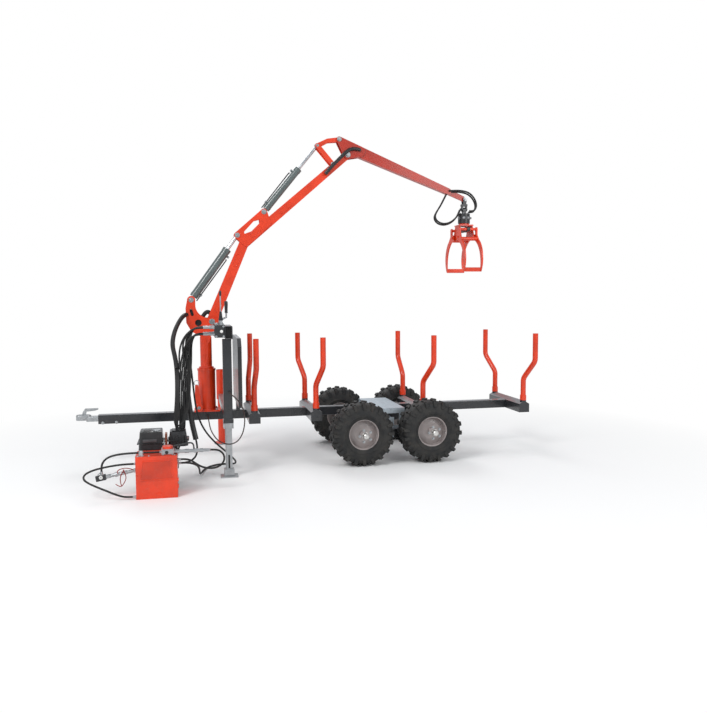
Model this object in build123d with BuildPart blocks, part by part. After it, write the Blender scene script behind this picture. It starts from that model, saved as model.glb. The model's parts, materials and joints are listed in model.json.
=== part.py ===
from build123d import *
import os
from math import cos, hypot, radians, sin, tan

# Small forestry trailer with a hydraulic crane, in millimetres.
# Origin: centre of the coupling's ball. +X runs rearward, +Y to the trailer's far side, +Z up.

os.makedirs("parts", exist_ok=True)

# Ground and clearances
GROUND = -420.0
SEAT = 0.3  # gap where one piece rests on another
PIN_GAP = 0.3  # radial gap round a pin
SIDE_GAP = 1.0  # side gap between hinged plates

# Main beam, three lengths of square tube bolted end to end
BEAM = 80.0
BEAM_WALL = 5.0
BEAM_TOP = 30.0
BEAM_Z = BEAM_TOP - BEAM / 2
BEAM_START = 150.0
SPLICE_FRONT = 1602.0
SPLICE_REAR = 1920.0
SPLICE_LENGTH = 110.0
SPLICE_HEIGHT = 64.0
SPLICE_PLATE = 6.0
BOLT_HEAD = 9.0
BOLT_PITCH = 34.0

# Ball coupling
BALL_R = 25.4
SOCKET_R = 38.0
SOCKET_TOP = 34.0
SOCKET_LIP = -14.0
NOSE_WIDTH = 58.0
NOSE_HEIGHT = 46.0
NOSE_TAIL = 70.0  # length of the nose inside the beam

# Bunks and stakes, with the table of bunk places and the way each pair of stakes is turned
BUNK_WIDTH = 100.0
BUNK_SIDE = 80.0
BUNK_RIDGE = 30.0
BUNK_WALL = 5.0
BUNK_HALF = 362.0
STAKE_Y = 333.0
STAKE_R = 24.5
STAKE_WALL = 3.0
POCKET_WALL = 4.0
POCKET_GAP = 0.6
POCKET_TOP = BEAM_TOP + BUNK_RIDGE + 3
COLLAR_WALL = 5.0
COLLAR_HEIGHT = 48.0
STAKE_KNEE_LOW = 270.0
STAKE_KNEE_HIGH = 440.0
STAKE_TOP = 700.0
STAKE_OFFSET = 132.0
STAKE_BEND_R = 90.0
# number, place along the beam, turn of the near stake, turn of the far stake (degrees from straight out, + rearward)
BUNKS = (
    (1, 1492.0, 5.0, 13.0),
    (2, 2039.0, 21.0, -21.0),
    (3, 3037.0, 30.0, -6.0),
    (4, 4032.0, 28.0, -28.0),
)
BEAM_END = BUNKS[-1][1] + BUNK_WIDTH / 2 + 6

# Wheels and bogies
BOGIE_X = 2720.0
TYRE_R = 279.5
WHEEL_GAP = 63.0  # between the two tyres of a bogie
WHEEL_OFFSET = TYRE_R + WHEEL_GAP / 2
TYRE_WIDTH = 260.0
TRACK_HALF = 530.5
AXLE_Z = GROUND + TYRE_R
LUG_DEPTH = 15.0
LUGS = 18  # pairs round the tyre
LUG_WIDTH = 26.0
LUG_SINK = 14.0  # how deep a lug reaches into the carcass
# from and to across the tyre, how far out it stands, skew in degrees
LUG_BARS = (
    (6.0, 68.0, TYRE_R, -24.0),
    (66.0, 122.0, TYRE_R - 3, 10.0),
)
RIM_R = 127.5
RIM_WALL = 4.0
RIM_WIDTH = 205.0
RIM_FLANGE_R = 137.0
TYRE_BORE_GAP = 0.4
DISC_INSET = 52.0  # from the rim's outer edge to the wheel disc
HUB_R = 42.0
HUB_LENGTH = 80.0
CAP_R = 26.0
AXLE_R = 15.0
BOGIE_LOW = -195.0
BOGIE_DEPTH = 80.0
BOGIE_GAP = 12.5  # from the bogie beam to the tyres' inner sides
BOGIE_WIDTH = 40.0
BOGIE_OUTER = TRACK_HALF - TYRE_WIDTH / 2 - BOGIE_GAP
BOGIE_INNER = BOGIE_OUTER - BOGIE_WIDTH

# Bridge plate over the bogies
BRIDGE_LENGTH = 275.0
BRIDGE_GAP = 3.0
BRIDGE_HALF = BOGIE_INNER - BRIDGE_GAP
BRIDGE_PLATE = 8.0
BRIDGE_LEG = 50.0
CROSS_TUBE = 60.0
PIVOT_R = 25.0

# Crane base and column
COLUMN_X = 1093.0
BASE_PLATE = 14.0
BASE_LENGTH = 230.0
BASE_WIDTH = 170.0
HOUSING_R = 77.5
HOUSING_TOP = 416.0
COLUMN_R = 51.5
COLUMN_FLANGE_R = 66.0
COLUMN_TOP = 700.0
HEAD_GAP = 37.0
HEAD_PLATE = 12.0

# Crane pins in the middle plane, (x, z)
BOOM_PIN = (1151.0, 838.0)
LIFT_BASE = (973.0, 1033.0)
LIFT_EYE = (1391.0, 1609.0)
BOOM_KNEE = (1447.0, 1530.0)
CURL_BASE = (1633.0, 1820.0)
CURL_EYE = (2128.0, 2424.0)
LINK_END = (2330.0, 2486.0)
ELBOW = (2408.0, 2350.0)
ROCKER_BASE = (2270.0, 2260.0)
TIP_PIN = (3553.0, 1973.0)
BIG_PIN_R = 15.0
PIN_R = 12.0

# Boom and arm
BOOM_HALF = 30.0
BOOM_FOOT_R = 48.0
BOOM_KNEE_R = 42.0
BOOM_END_R = 33.0
BOOM_CHEEK = 8.0
CHEEK_BOSS_R = 29.0
ARM_HALF = 31.0
ARM_ROOT = (2520.0, 2382.0)
ARM_ROOT_R = 50.0
ARM_NECK = (3385.0, 2043.0)
ARM_NECK_R = 28.0
ARM_PLATE = 10.0
TIP_R = 22.0
TIP_HALF = 15.0

# Cylinders
LIFT_BARREL_R = 36.0
LIFT_BARREL_END = 560.0
LIFT_ROD_R = 17.5
CURL_BARREL_R = 31.0
CURL_BARREL_END = 510.0
CURL_ROD_R = 15.0
BARREL_START = 46.0
EYE_R = 24.0
EYE_HALF = 25.0
CURL_EYE_HALF = 13.0

# Link and rocker
LINK_INNER = 17.0
LINK_PLATE = 10.0
ROCKER_PLATE = 8.0
LINK_R = 20.0

# Grapple, hanging under the tip pin
GRAPPLE_X = TIP_PIN[0]
HANGER_DROP = 46.0  # from the tip pin down to the hanger's block
CROSS_PIN_Z = TIP_PIN[1] - 95
ROTATOR_R = 57.0
ROTATOR_TOP = CROSS_PIN_Z - 42
ROTATOR_HEIGHT = 92.0
ROTOR_R = 50.0
ROTOR_HEIGHT = 14.0
FRAME_TOP = ROTATOR_TOP - ROTATOR_HEIGHT - ROTOR_HEIGHT - 2 * SEAT
FRAME_PLATE = 12.0
CHEEK_X = 58.0
CHEEK_TOP_Y = 46.0
JAW_PIVOT_Y = 75.0
JAW_PIVOT_Z = 1612.0
JAW_EAR_Y = 110.0
JAW_EAR_Z = 1682.0
JAW_X = 78.0
JAW_PLATE = 12.0
LOG_R = 232.0
LOG_Z = 1362.0
JAW_DEPTH = 46.0
JAW_TIP_Z = 1283.0
SPACER_Y = 138.0
SPACER_Z = 1590.0
SPACER_R = 18.0
GRAB_BARREL_R = 24.0
GRAB_ROD_R = 12.0
EAR_TUBE_R = 13.0
EAR_PIN_R = 9.0
GRAB_EYE_R = 21.0
GRAB_EYE_HALF = 15.0
GRAB_END = 154.0  # from the near ear to the end of the barrel
GRAB_CAP = 4.0  # closed end of the barrel
GRAB_ROD_START = 68.0
SLOT_IN = 7.6  # how far the rod's eye may drift from its pin, inwards and outwards
SLOT_OUT = 1.6

# Outrigger and legs
LEG_X = 1247.0
LEG_Y = 700.0
CARRIER = 60.0
POST = 72.0
POST_WALL = 4.0
POST_TOP = 718.0
POST_FOOT = 34.0
LEG = 54.0
LEG_TOP = 400.0
FOOT_LENGTH = 142.0
FOOT_PLATE = 10.0
FAR_SLEEVE_R = 47.0
FAR_LEG_R = 38.0
FAR_FOOT_R = 78.0
SLEEVE_WALL = 4.0
SLEEVE_TOP = 330.0

# Valve block on its rail
RAIL_X = 1264.0
RAIL_WIDTH = 60.0
RAIL_HEIGHT = 106.0
RAIL_FRONT = -752.0
RAIL_BACK = -420.0
VALVE_LENGTH = 82.0
VALVE_BODY = 104.0
VALVE_LIFT = 12.0  # from the post's top to the valve body
VALVE_FRONT = -744.0
VALVE_BACK = -480.0
SECTIONS = 6
PORT_ROWS = (812.0, 759.0)
PORT_END = 1061.0  # where the hoses begin
PORT_R = 9.0
NUT_R = 12.5
NUT_LENGTH = 26.0
SPOOL_X = 1204.0
SPOOL_R = 15.0
SPOOL_HEIGHT = 36.0
BELLOWS_R = 17.0
BELLOWS_HEIGHT = 72.0
LEVER_R = 4.0
LEVER_TOP = 1070.0
KNOB_R = 9.0
KNOB_HEIGHT = 44.0
GRIP_X = 1252.0
GRIP_LOW = 928.0
GRIP_TOP = 1026.0
JOYSTICKS = (0, 2)  # sections with a tall lever
GRIPS = (1, 3, 4)  # sections with a short grip

# Headboard
HEADBOARD_X = 1352.0
HEADBOARD_HALF = 400.0
HEADBOARD_BOTTOM = 100.0
HEADBOARD_TOP = 700.0
HEADBOARD_SHEET = 4.0
HEADBOARD_RIB = 30.0
HEADBOARD_CORNER = 70.0

# Power pack on the ground
PACK_X = 693.0
PACK_FRONT = -1258.0
TANK_WIDTH = 300.0
TANK_DEPTH = 230.0
TANK_HEIGHT = 316.0
PUMP_SIZE = (93.0, 76.0, 46.0)
PUMP_IN = 82.0  # from the tank's middle to the pump's
PUMP_BACK = 61.0  # from the tank's front to the pump's middle
PUMP_PORT = 18.0  # height of its two side ports over the lid
FILLER_OUT = 108.0
FILLER_FORE = 28.0
FILLER_R = 17.0
COUPLER_END = 1086.0
COUPLER_R = 11.0
STUB_R = 9.0
STUB_LENGTH = 25.0
# side of the tank, place across and height of each hose stub low on its sides
TANK_STUBS = (
    (1, -1199.0, -147.0),
    (1, -1085.0, -200.0),
    (-1, -1060.0, -194.0),
    (-1, -1232.0, -402.0),
)
HAND_VALVE_Y = -1140.0
HAND_VALVE_Z = -225.0
HAND_VALVE_SLOPE = 10.0
HAND_VALVE_REACH = 216.0
HAND_VALVE_SIZE = (38.0, 38.0, 72.0)
HAND_VALVE_X = 294.0
HAND_VALVE_TOP = -221.0
PANEL_TOP = 208.0
PANEL_BASE = 252.0
PANEL_HEIGHT = 150.0
PANEL_FOOT = 136.0
PANEL_RISE = 3.0
BED_WIDTH = 290.0
BED_HEIGHT = 50.0
COVER_X = 644.0
COVER_WIDTH = 190.0
COVER_LOW = 305.0
COVER_TOP = 445.0
FILTER_X = 846.0
FILTER_WIDTH = 156.0
FILTER_LOW = 326.0
FILTER_TOP = 440.0
ENGINE_FRONT = PACK_FRONT + PANEL_RISE + TANK_DEPTH + SEAT
ENGINE_DEPTH = 270.0
SHAFT_Y = -888.0
SHAFT_Z = -245.0
GEAR_PUMP_END = 850.0
ELBOW_PORT = (832.0, -835.0)
FILTER_PORT = (814.0, -782.0)
PORT_TOP = -228.0


def ring_z(outer, inner):
    """A round section with a hole."""
    Circle(outer)
    Circle(inner, mode=Mode.SUBTRACT)


def tube_section(width, height, wall, corner=8.0):
    """A rectangular tube's section with rounded corners."""
    RectangleRounded(width, height, corner)
    RectangleRounded(width - 2 * wall, height - 2 * wall, max(corner - wall, 1), mode=Mode.SUBTRACT)


def side_plane(y):
    """The X-Z plane at y, whose extrusions run towards the near side."""
    return Plane.XZ.offset(-y)


def hull_of(*circles):
    """One face round several circles, each given as its centre and radius."""
    for centre, radius in circles:
        with Locations(centre):
            Circle(radius)
    make_hull()


def polygon(*points, mode=Mode.ADD):
    """One face from its corners."""
    Polygon(*points, align=None, mode=mode)


def cross_pin(pin, radius, half, plane_y=0.0, mode=Mode.ADD):
    """A round bar across the crane at a pin, as long as 2 half."""
    with BuildSketch(side_plane(plane_y + half)) as section:
        with Locations(pin):
            Circle(radius)
    extrude(section.sketch, amount=2 * half, mode=mode)


def along(base, target):
    """The plane across the line between two pins, with its own x along world Y."""
    run = Vector(target[0] - base[0], 0, target[1] - base[1])
    return Plane(origin=(base[0], 0, base[1]), x_dir=(0, 1, 0), z_dir=run)


def distance(base, target):
    return hypot(target[0] - base[0], target[1] - base[1])


# Drawbar
with BuildPart() as drawbar:
    with BuildSketch(Plane.YZ.offset(BEAM_START)):
        with Locations((0, BEAM_Z)):
            tube_section(BEAM, BEAM, BEAM_WALL)
    extrude(amount=SPLICE_FRONT - BEAM_START)
drawbar.part.label = "drawbar_beam"
export_step(drawbar.part, "parts/drawbar_beam.step")

# Middle length of the beam, with the splice plates on both sides of each joint
with BuildPart() as middle:
    with BuildSketch(Plane.YZ.offset(SPLICE_FRONT)):
        with Locations((0, BEAM_Z)):
            tube_section(BEAM, BEAM, BEAM_WALL)
    extrude(amount=SPLICE_REAR - SPLICE_FRONT)
    for splice in (SPLICE_FRONT, SPLICE_REAR):
        for side in (-1, 1):
            with Locations((splice, side * (BEAM / 2 + SPLICE_PLATE / 2), BEAM_Z)):
                Box(SPLICE_LENGTH, SPLICE_PLATE, SPLICE_HEIGHT)
            with BuildSketch(side_plane(side * (BEAM / 2 + SPLICE_PLATE) + max(side, 0) * BOLT_HEAD)):
                with Locations((splice, BEAM_Z)):
                    with GridLocations(SPLICE_LENGTH / 2, BOLT_PITCH, 2, 2):
                        RegularPolygon(BOLT_HEAD, 6)
            extrude(amount=BOLT_HEAD)
middle.part.label = "mid_beam"
export_step(middle.part, "parts/mid_beam.step")

# Rear length of the beam
with BuildPart() as rear:
    with BuildSketch(Plane.YZ.offset(SPLICE_REAR)):
        with Locations((0, BEAM_Z)):
            tube_section(BEAM, BEAM, BEAM_WALL)
    extrude(amount=BEAM_END - SPLICE_REAR)
rear.part.label = "rear_beam"
export_step(rear.part, "parts/rear_beam.step")

# Ball coupling with its nose inside the drawbar and the locking handle on top
NOSE_END = BEAM_START + NOSE_TAIL
with BuildPart() as coupling:
    with BuildSketch(Plane.XY.offset(SOCKET_LIP)):
        hull_of(((0, 0), SOCKET_R), ((60, 0), NOSE_WIDTH / 2))
    extrude(amount=SOCKET_TOP - SOCKET_LIP)
    with BuildSketch(Plane.YZ.offset(50)):
        with Locations((0, BEAM_Z + 6)):
            RectangleRounded(NOSE_WIDTH, NOSE_HEIGHT, 6)
    extrude(amount=NOSE_END - 50)
    with Locations((BEAM_START + NOSE_TAIL / 2 + 4, 0, BEAM_Z + 6)):
        Box(NOSE_TAIL - 8, BEAM - 2 * BEAM_WALL - 2 * SEAT, NOSE_HEIGHT)
    fillet(coupling.edges().group_by(Axis.Z)[-1].group_by(Axis.X)[0], 10)
    with BuildSketch(side_plane(8)):
        polygon((10, 30), (44, 30), (52, 62), (118, 66), (150, 76), (150, 88), (40, 88), (22, 62))
    extrude(amount=16)
    with BuildSketch(Plane.XY.offset(SOCKET_LIP)):
        Circle(BALL_R)
    extrude(amount=-SOCKET_LIP, mode=Mode.SUBTRACT)
    Sphere(BALL_R, mode=Mode.SUBTRACT)
coupling.part.label = "coupling"
export_step(coupling.part, "parts/coupling.step")

# Bunks: a folded cross member with a ridged top over the beam, and a pocket near each end
BUNK_BOTTOM = BEAM_TOP - BUNK_SIDE


def bunk_outline(inset):
    """The section of a bunk, drawn in by a wall's thickness."""
    half = BUNK_WIDTH / 2 - inset
    shoulder = BEAM_TOP - inset / 2
    ridge = BEAM_TOP + BUNK_RIDGE - inset
    low = BUNK_BOTTOM + (inset if inset else 0)
    polygon((-half, low), (half, low), (half, shoulder), (0, ridge), (-half, shoulder))


for number, place, near_turn, far_turn in BUNKS:
    with BuildPart() as bunk:
        with BuildSketch(Plane.XZ.offset(-BUNK_HALF)):
            with Locations((place, 0)):
                bunk_outline(0)
        extrude(amount=2 * BUNK_HALF)
        with BuildSketch(Plane.XZ.offset(-(BUNK_HALF - BUNK_WALL))):
            with Locations((place, 0)):
                bunk_outline(BUNK_WALL)
        extrude(amount=2 * (BUNK_HALF - BUNK_WALL), mode=Mode.SUBTRACT)
        for side in (-1, 1):
            with BuildSketch(Plane.XY.offset(BUNK_BOTTOM)):
                with Locations((place, side * STAKE_Y)):
                    Circle(STAKE_R + POCKET_GAP + POCKET_WALL)
            extrude(amount=POCKET_TOP - BUNK_BOTTOM)
            with BuildSketch(Plane.XY.offset(BUNK_BOTTOM + BUNK_WALL)):
                with Locations((place, side * STAKE_Y)):
                    Circle(STAKE_R + POCKET_GAP)
            extrude(amount=POCKET_TOP - BUNK_BOTTOM - BUNK_WALL, mode=Mode.SUBTRACT)
        with BuildSketch(Plane.YZ.offset(place - BUNK_WIDTH)):
            with Locations((0, BEAM_TOP - BEAM)):
                Rectangle(BEAM, 2 * BEAM)
        extrude(amount=2 * BUNK_WIDTH, mode=Mode.SUBTRACT)
    bunk.part.label = f"bunk_{number}"
    export_step(bunk.part, f"parts/{bunk.part.label}.step")

# Stakes: bent tubes that drop into the pockets, near and far on each bunk
for number, place, near_turn, far_turn in BUNKS:
    with BuildPart() as stakes:
        for side, turn in ((-1, near_turn), (1, far_turn)):
            lean = Vector(sin(radians(turn)), side * cos(radians(turn)), 0) * STAKE_OFFSET
            foot = Vector(place, side * STAKE_Y, BUNK_BOTTOM + BUNK_WALL + 2)
            points = (
                foot,
                Vector(foot.X, foot.Y, STAKE_KNEE_LOW),
                Vector(foot.X, foot.Y, STAKE_KNEE_HIGH) + lean,
                Vector(foot.X, foot.Y, STAKE_TOP) + lean,
            )
            with BuildLine() as stake_path:
                FilletPolyline(*points, radius=STAKE_BEND_R)
            with BuildSketch(Plane(origin=foot, z_dir=(0, 0, 1))):
                ring_z(STAKE_R, STAKE_R - STAKE_WALL)
            sweep(path=stake_path.line)
            with BuildSketch(Plane.XY.offset(POCKET_TOP + SEAT)):
                with Locations((foot.X, foot.Y)):
                    ring_z(STAKE_R + COLLAR_WALL, STAKE_R - STAKE_WALL / 2)
            extrude(amount=COLLAR_HEIGHT)
    stakes.part.label = f"stakes_{number}"
    export_step(stakes.part, f"parts/{stakes.part.label}.step")

# Bridge over the bogies: top plate on the beam, cheeks with a window, cross tube under the beam
BRIDGE_BOTTOM = BOGIE_LOW - BRIDGE_LEG / 2
with BuildPart() as bridge:
    with Locations((BOGIE_X, 0, BEAM_TOP + BRIDGE_PLATE / 2)):
        Box(BRIDGE_LENGTH, 2 * BRIDGE_HALF, BRIDGE_PLATE)
    for side in (-1, 1):
        cheek_outer = side * BRIDGE_HALF if side > 0 else -BRIDGE_HALF + BRIDGE_PLATE
        with BuildSketch(side_plane(cheek_outer)):
            half = BRIDGE_LENGTH / 2
            polygon(
                (BOGIE_X - half, BEAM_TOP + BRIDGE_PLATE),
                (BOGIE_X - half, BOGIE_LOW + 40),
                (BOGIE_X - BRIDGE_LEG, BRIDGE_BOTTOM),
                (BOGIE_X + BRIDGE_LEG, BRIDGE_BOTTOM),
                (BOGIE_X + half, BOGIE_LOW + 40),
                (BOGIE_X + half, BEAM_TOP + BRIDGE_PLATE),
            )
            with Locations((BOGIE_X, -65)):
                Rectangle(BRIDGE_LENGTH - 2 * BRIDGE_LEG, 110, mode=Mode.SUBTRACT)
            with Locations((BOGIE_X, -84)):
                Rectangle(CROSS_TUBE + 16, 76)
        extrude(amount=BRIDGE_PLATE)
    with BuildSketch(Plane.XZ.offset(-BRIDGE_HALF)):
        with Locations((BOGIE_X, BEAM_TOP - BEAM - CROSS_TUBE / 2 - SEAT)):
            tube_section(CROSS_TUBE, CROSS_TUBE, BUNK_WALL)
    extrude(amount=2 * BRIDGE_HALF)
    for side in (-1, 1):
        with BuildSketch(Plane.XZ.offset(-side * BRIDGE_HALF if side > 0 else BRIDGE_HALF + 58)):
            with Locations((BOGIE_X, BOGIE_LOW)):
                Circle(PIVOT_R)
        extrude(amount=-58 if side > 0 else -58)
bridge.part.label = "axle_bridge"
export_step(bridge.part, "parts/axle_bridge.step")

# Bogie beams with the stub axles that carry the wheels
HUB_INNER = TRACK_HALF + RIM_WIDTH / 2 - DISC_INSET - HUB_LENGTH
for side, label in ((-1, "bogie_near"), (1, "bogie_far")):
    with BuildPart() as bogie:
        with BuildSketch(side_plane(BOGIE_OUTER if side > 0 else -BOGIE_INNER)):
            hull_of(((BOGIE_X - WHEEL_OFFSET, AXLE_Z), 36), ((BOGIE_X, BOGIE_LOW), BOGIE_DEPTH / 2))
        extrude(amount=BOGIE_OUTER - BOGIE_INNER)
        with BuildSketch(side_plane(BOGIE_OUTER if side > 0 else -BOGIE_INNER)):
            hull_of(((BOGIE_X + WHEEL_OFFSET, AXLE_Z), 36), ((BOGIE_X, BOGIE_LOW), BOGIE_DEPTH / 2))
        extrude(amount=BOGIE_OUTER - BOGIE_INNER)
        with BuildSketch(side_plane(BOGIE_OUTER if side > 0 else -BOGIE_INNER)):
            with Locations((BOGIE_X, BOGIE_LOW)):
                Circle(PIVOT_R + PIN_GAP)
        extrude(amount=BOGIE_OUTER - BOGIE_INNER, mode=Mode.SUBTRACT)
        axle_end = HUB_INNER + HUB_LENGTH - 14
        with BuildSketch(side_plane(axle_end if side > 0 else -BOGIE_OUTER + 4)):
            with GridLocations(2 * WHEEL_OFFSET, 1, 2, 1):
                with Locations((BOGIE_X, AXLE_Z)):
                    Circle(AXLE_R)
        extrude(amount=axle_end - BOGIE_OUTER + 4)
    bogie.part.label = label
    export_step(bogie.part, f"parts/{label}.step")

# One tyre round the Y axis: carcass with its beads, and slanted lugs over the crown and shoulders
TYRE_BORE = RIM_R + TYRE_BORE_GAP
CROWN = TYRE_R - LUG_DEPTH
SHOULDER = TYRE_WIDTH / 2
BEAD = RIM_WIDTH / 2 - 8
with BuildPart() as tyre:
    with BuildSketch(Plane.XY):
        polygon(
            (TYRE_BORE, -BEAD),
            (CROWN - 60, -SHOULDER),
            (CROWN - 16, -SHOULDER + 14),
            (CROWN, -SHOULDER + 60),
            (CROWN, SHOULDER - 60),
            (CROWN - 16, SHOULDER - 14),
            (CROWN - 60, SHOULDER),
            (TYRE_BORE, BEAD),
            (TYRE_BORE, BEAD - 22),
            (CROWN - 26, SHOULDER - 30),
            (CROWN - 26, -SHOULDER + 30),
            (TYRE_BORE, -BEAD + 22),
        )
    revolve(axis=Axis.Y)
    for low, high, reach, skew in LUG_BARS:
        lug_height = reach - CROWN + LUG_SINK
        seats = []
        for place in range(2 * LUGS):
            hand = 1 if place % 2 else -1
            middle = (0, hand * (low + high) / 2, CROWN - LUG_SINK + lug_height / 2)
            seats.append(Location((0, 0, 0), (0, 180 * place / LUGS, 0)) * Location(middle, (0, 0, hand * skew)))
        with Locations(*seats):
            Box(LUG_WIDTH, high - low, lug_height)

# Rim round the Y axis, with its disc, hub and cap towards +Y
DISC = RIM_WIDTH / 2 - DISC_INSET
with BuildPart() as rim:
    with BuildSketch(Plane.XY):
        edge = RIM_WIDTH / 2
        polygon(
            (RIM_R, -edge + 8),
            (RIM_R, edge - 8),
            (RIM_FLANGE_R, edge),
            (RIM_FLANGE_R - 4, edge + 3),
            (RIM_R - RIM_WALL, edge - 4),
            (RIM_R - RIM_WALL, -edge + 4),
            (RIM_FLANGE_R - 4, -edge - 3),
            (RIM_FLANGE_R, -edge),
        )
        polygon(
            (AXLE_R + PIN_GAP, DISC - HUB_LENGTH),
            (HUB_R, DISC - HUB_LENGTH),
            (HUB_R, DISC - 6),
            (RIM_R - RIM_WALL, DISC - 20),
            (RIM_R - RIM_WALL, DISC - 14),
            (HUB_R + 30, DISC),
            (CAP_R, DISC),
            (CAP_R, DISC + 26),
            (0, DISC + 30),
            (0, DISC - 12),
            (AXLE_R + PIN_GAP, DISC - 12),
        )
    revolve(axis=Axis.Y)

# Wheels: that tyre and rim at each place
WHEELS = (
    ("front_near", -1, -1),
    ("rear_near", 1, -1),
    ("front_far", -1, 1),
    ("rear_far", 1, 1),
)
for label, fore, side in WHEELS:
    centre = Location((BOGIE_X + fore * WHEEL_OFFSET, side * TRACK_HALF, AXLE_Z), (0, 0, 0 if side > 0 else 180))
    for kind, model in (("tyre", tyre), ("rim", rim)):
        with BuildPart() as placed:
            with Locations(centre):
                add(model.part)
        placed.part.label = f"{kind}_{label}"
        export_step(placed.part, f"parts/{placed.part.label}.step")

# Headboard: sheet with a folded frame behind it, on a foot that stands on the drawbar


def headboard_outline(inset, mode=Mode.ADD):
    """The board's outline with its cut upper corners, drawn in by a rib's width."""
    half = HEADBOARD_HALF - inset
    low = HEADBOARD_BOTTOM + inset
    top = HEADBOARD_TOP - inset
    cut = HEADBOARD_CORNER - inset / 2
    polygon((-half, low), (half, low), (half, top - cut), (half - cut, top), (cut - half, top), (-half, top - cut), mode=mode)


with BuildPart() as headboard:
    with BuildSketch(Plane.YZ.offset(HEADBOARD_X)):
        headboard_outline(0)
    extrude(amount=HEADBOARD_SHEET)
    with BuildSketch(Plane.YZ.offset(HEADBOARD_X + HEADBOARD_SHEET)):
        headboard_outline(0)
        headboard_outline(HEADBOARD_RIB, mode=Mode.SUBTRACT)
        with Locations((0, (HEADBOARD_TOP + HEADBOARD_BOTTOM) / 2)):
            Rectangle(HEADBOARD_RIB, HEADBOARD_TOP - HEADBOARD_BOTTOM)
    extrude(amount=HEADBOARD_RIB)
    with Locations((HEADBOARD_X + 17, 0, (HEADBOARD_BOTTOM + BEAM_TOP + SEAT) / 2)):
        Box(34, BEAM - 4, HEADBOARD_BOTTOM - BEAM_TOP - SEAT)
headboard.part.label = "headboard"
export_step(headboard.part, "parts/headboard.step")

# Crane base: plate on the beam, gussets and the slewing housing
with BuildPart() as base:
    with BuildSketch(Plane.XY.offset(BEAM_TOP)):
        with Locations((COLUMN_X, 0)):
            RectangleRounded(BASE_LENGTH, BASE_WIDTH, 12)
    extrude(amount=BASE_PLATE)
    with BuildSketch(Plane.XY.offset(BEAM_TOP + BASE_PLATE)):
        with Locations((COLUMN_X, 0)):
            Circle(HOUSING_R)
    extrude(amount=HOUSING_TOP - BEAM_TOP - BASE_PLATE)
    with BuildSketch(Plane.XY.offset(HOUSING_TOP - 10)):
        with Locations((COLUMN_X, 0)):
            Circle(HOUSING_R + 4)
    extrude(amount=10)
base.part.label = "crane_base"
export_step(base.part, "parts/crane_base.step")

# Carrier across the beam for the two legs
CARRIER_BOTTOM = BEAM_TOP
with BuildPart() as carrier:
    with BuildSketch(Plane.XZ.offset(-(LEG_Y - POST / 2))):
        with Locations((LEG_X, CARRIER_BOTTOM + CARRIER / 2)):
            tube_section(CARRIER, CARRIER, POST_WALL)
    extrude(amount=2 * (LEG_Y - POST / 2))
carrier.part.label = "leg_carrier"
export_step(carrier.part, "parts/leg_carrier.step")

# Near post, open below for the leg
with BuildPart() as post:
    with BuildSketch(Plane.XY.offset(POST_FOOT)):
        with Locations((LEG_X, -LEG_Y)):
            tube_section(POST, POST, POST_WALL)
    extrude(amount=POST_TOP - POST_FOOT)
    with BuildSketch(Plane.XY.offset(POST_FOOT)):
        with Locations((LEG_X, -LEG_Y)):
            tube_section(POST + 12, POST + 12, (POST + 12 - LEG) / 2 - SEAT)
    extrude(amount=26)
    split(bisect_by=Plane.XZ.offset(LEG_Y - POST / 2), keep=Keep.TOP)
post.part.label = "post_near"
export_step(post.part, "parts/post_near.step")

# Far sleeve for the round leg
with BuildPart() as sleeve:
    with BuildSketch(Plane.XY.offset(POST_FOOT)):
        with Locations((LEG_X, LEG_Y + FAR_SLEEVE_R - POST / 2)):
            ring_z(FAR_SLEEVE_R, FAR_SLEEVE_R - SLEEVE_WALL)
    extrude(amount=SLEEVE_TOP - POST_FOOT)
    with BuildSketch(Plane.XY.offset(POST_FOOT)):
        with Locations((LEG_X, LEG_Y + FAR_SLEEVE_R - POST / 2)):
            ring_z(FAR_SLEEVE_R, FAR_LEG_R + SEAT)
    extrude(amount=26)
    split(bisect_by=Plane.XZ.offset(-(LEG_Y - POST / 2)), keep=Keep.BOTTOM)
sleeve.part.label = "sleeve_far"
export_step(sleeve.part, "parts/sleeve_far.step")

# Near leg with its foot
with BuildPart() as leg_near:
    with BuildSketch(Plane.XY.offset(GROUND + FOOT_PLATE)):
        with Locations((LEG_X, -LEG_Y)):
            tube_section(LEG, LEG, POST_WALL, 6)
    extrude(amount=LEG_TOP - GROUND - FOOT_PLATE)
    with Locations((LEG_X, -LEG_Y, GROUND + FOOT_PLATE / 2)):
        Box(FOOT_LENGTH, 110, FOOT_PLATE)
    for fore in (-1, 1):
        with BuildSketch(Plane.YZ.offset(LEG_X + fore * (LEG / 2 + 4) - 4)):
            with Locations((-LEG_Y, GROUND + 34)):
                Rectangle(60, 68)
        extrude(amount=8)
leg_near.part.label = "leg_near"
export_step(leg_near.part, "parts/leg_near.step")

# Far leg with its round foot
FAR_Y = LEG_Y + FAR_SLEEVE_R - POST / 2
with BuildPart() as leg_far:
    with BuildSketch(Plane.XY.offset(GROUND)):
        with Locations((LEG_X, FAR_Y)):
            Circle(FAR_FOOT_R)
    extrude(amount=16, taper=12)
    with BuildSketch(Plane.XY.offset(GROUND + 14)):
        with Locations((LEG_X, FAR_Y)):
            ring_z(FAR_LEG_R, FAR_LEG_R - SLEEVE_WALL)
    extrude(amount=SLEEVE_TOP - 60 - GROUND)
leg_far.part.label = "leg_far"
export_step(leg_far.part, "parts/leg_far.step")

# Rail on the near post, and the valve block beside it
with BuildPart() as rail:
    with BuildSketch(Plane.XZ.offset(-RAIL_BACK)):
        with Locations((RAIL_X, POST_TOP + RAIL_HEIGHT / 2)):
            tube_section(RAIL_WIDTH, RAIL_HEIGHT, POST_WALL, 6)
    extrude(amount=RAIL_BACK - RAIL_FRONT)
rail.part.label = "valve_rail"
export_step(rail.part, "parts/valve_rail.step")

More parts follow.
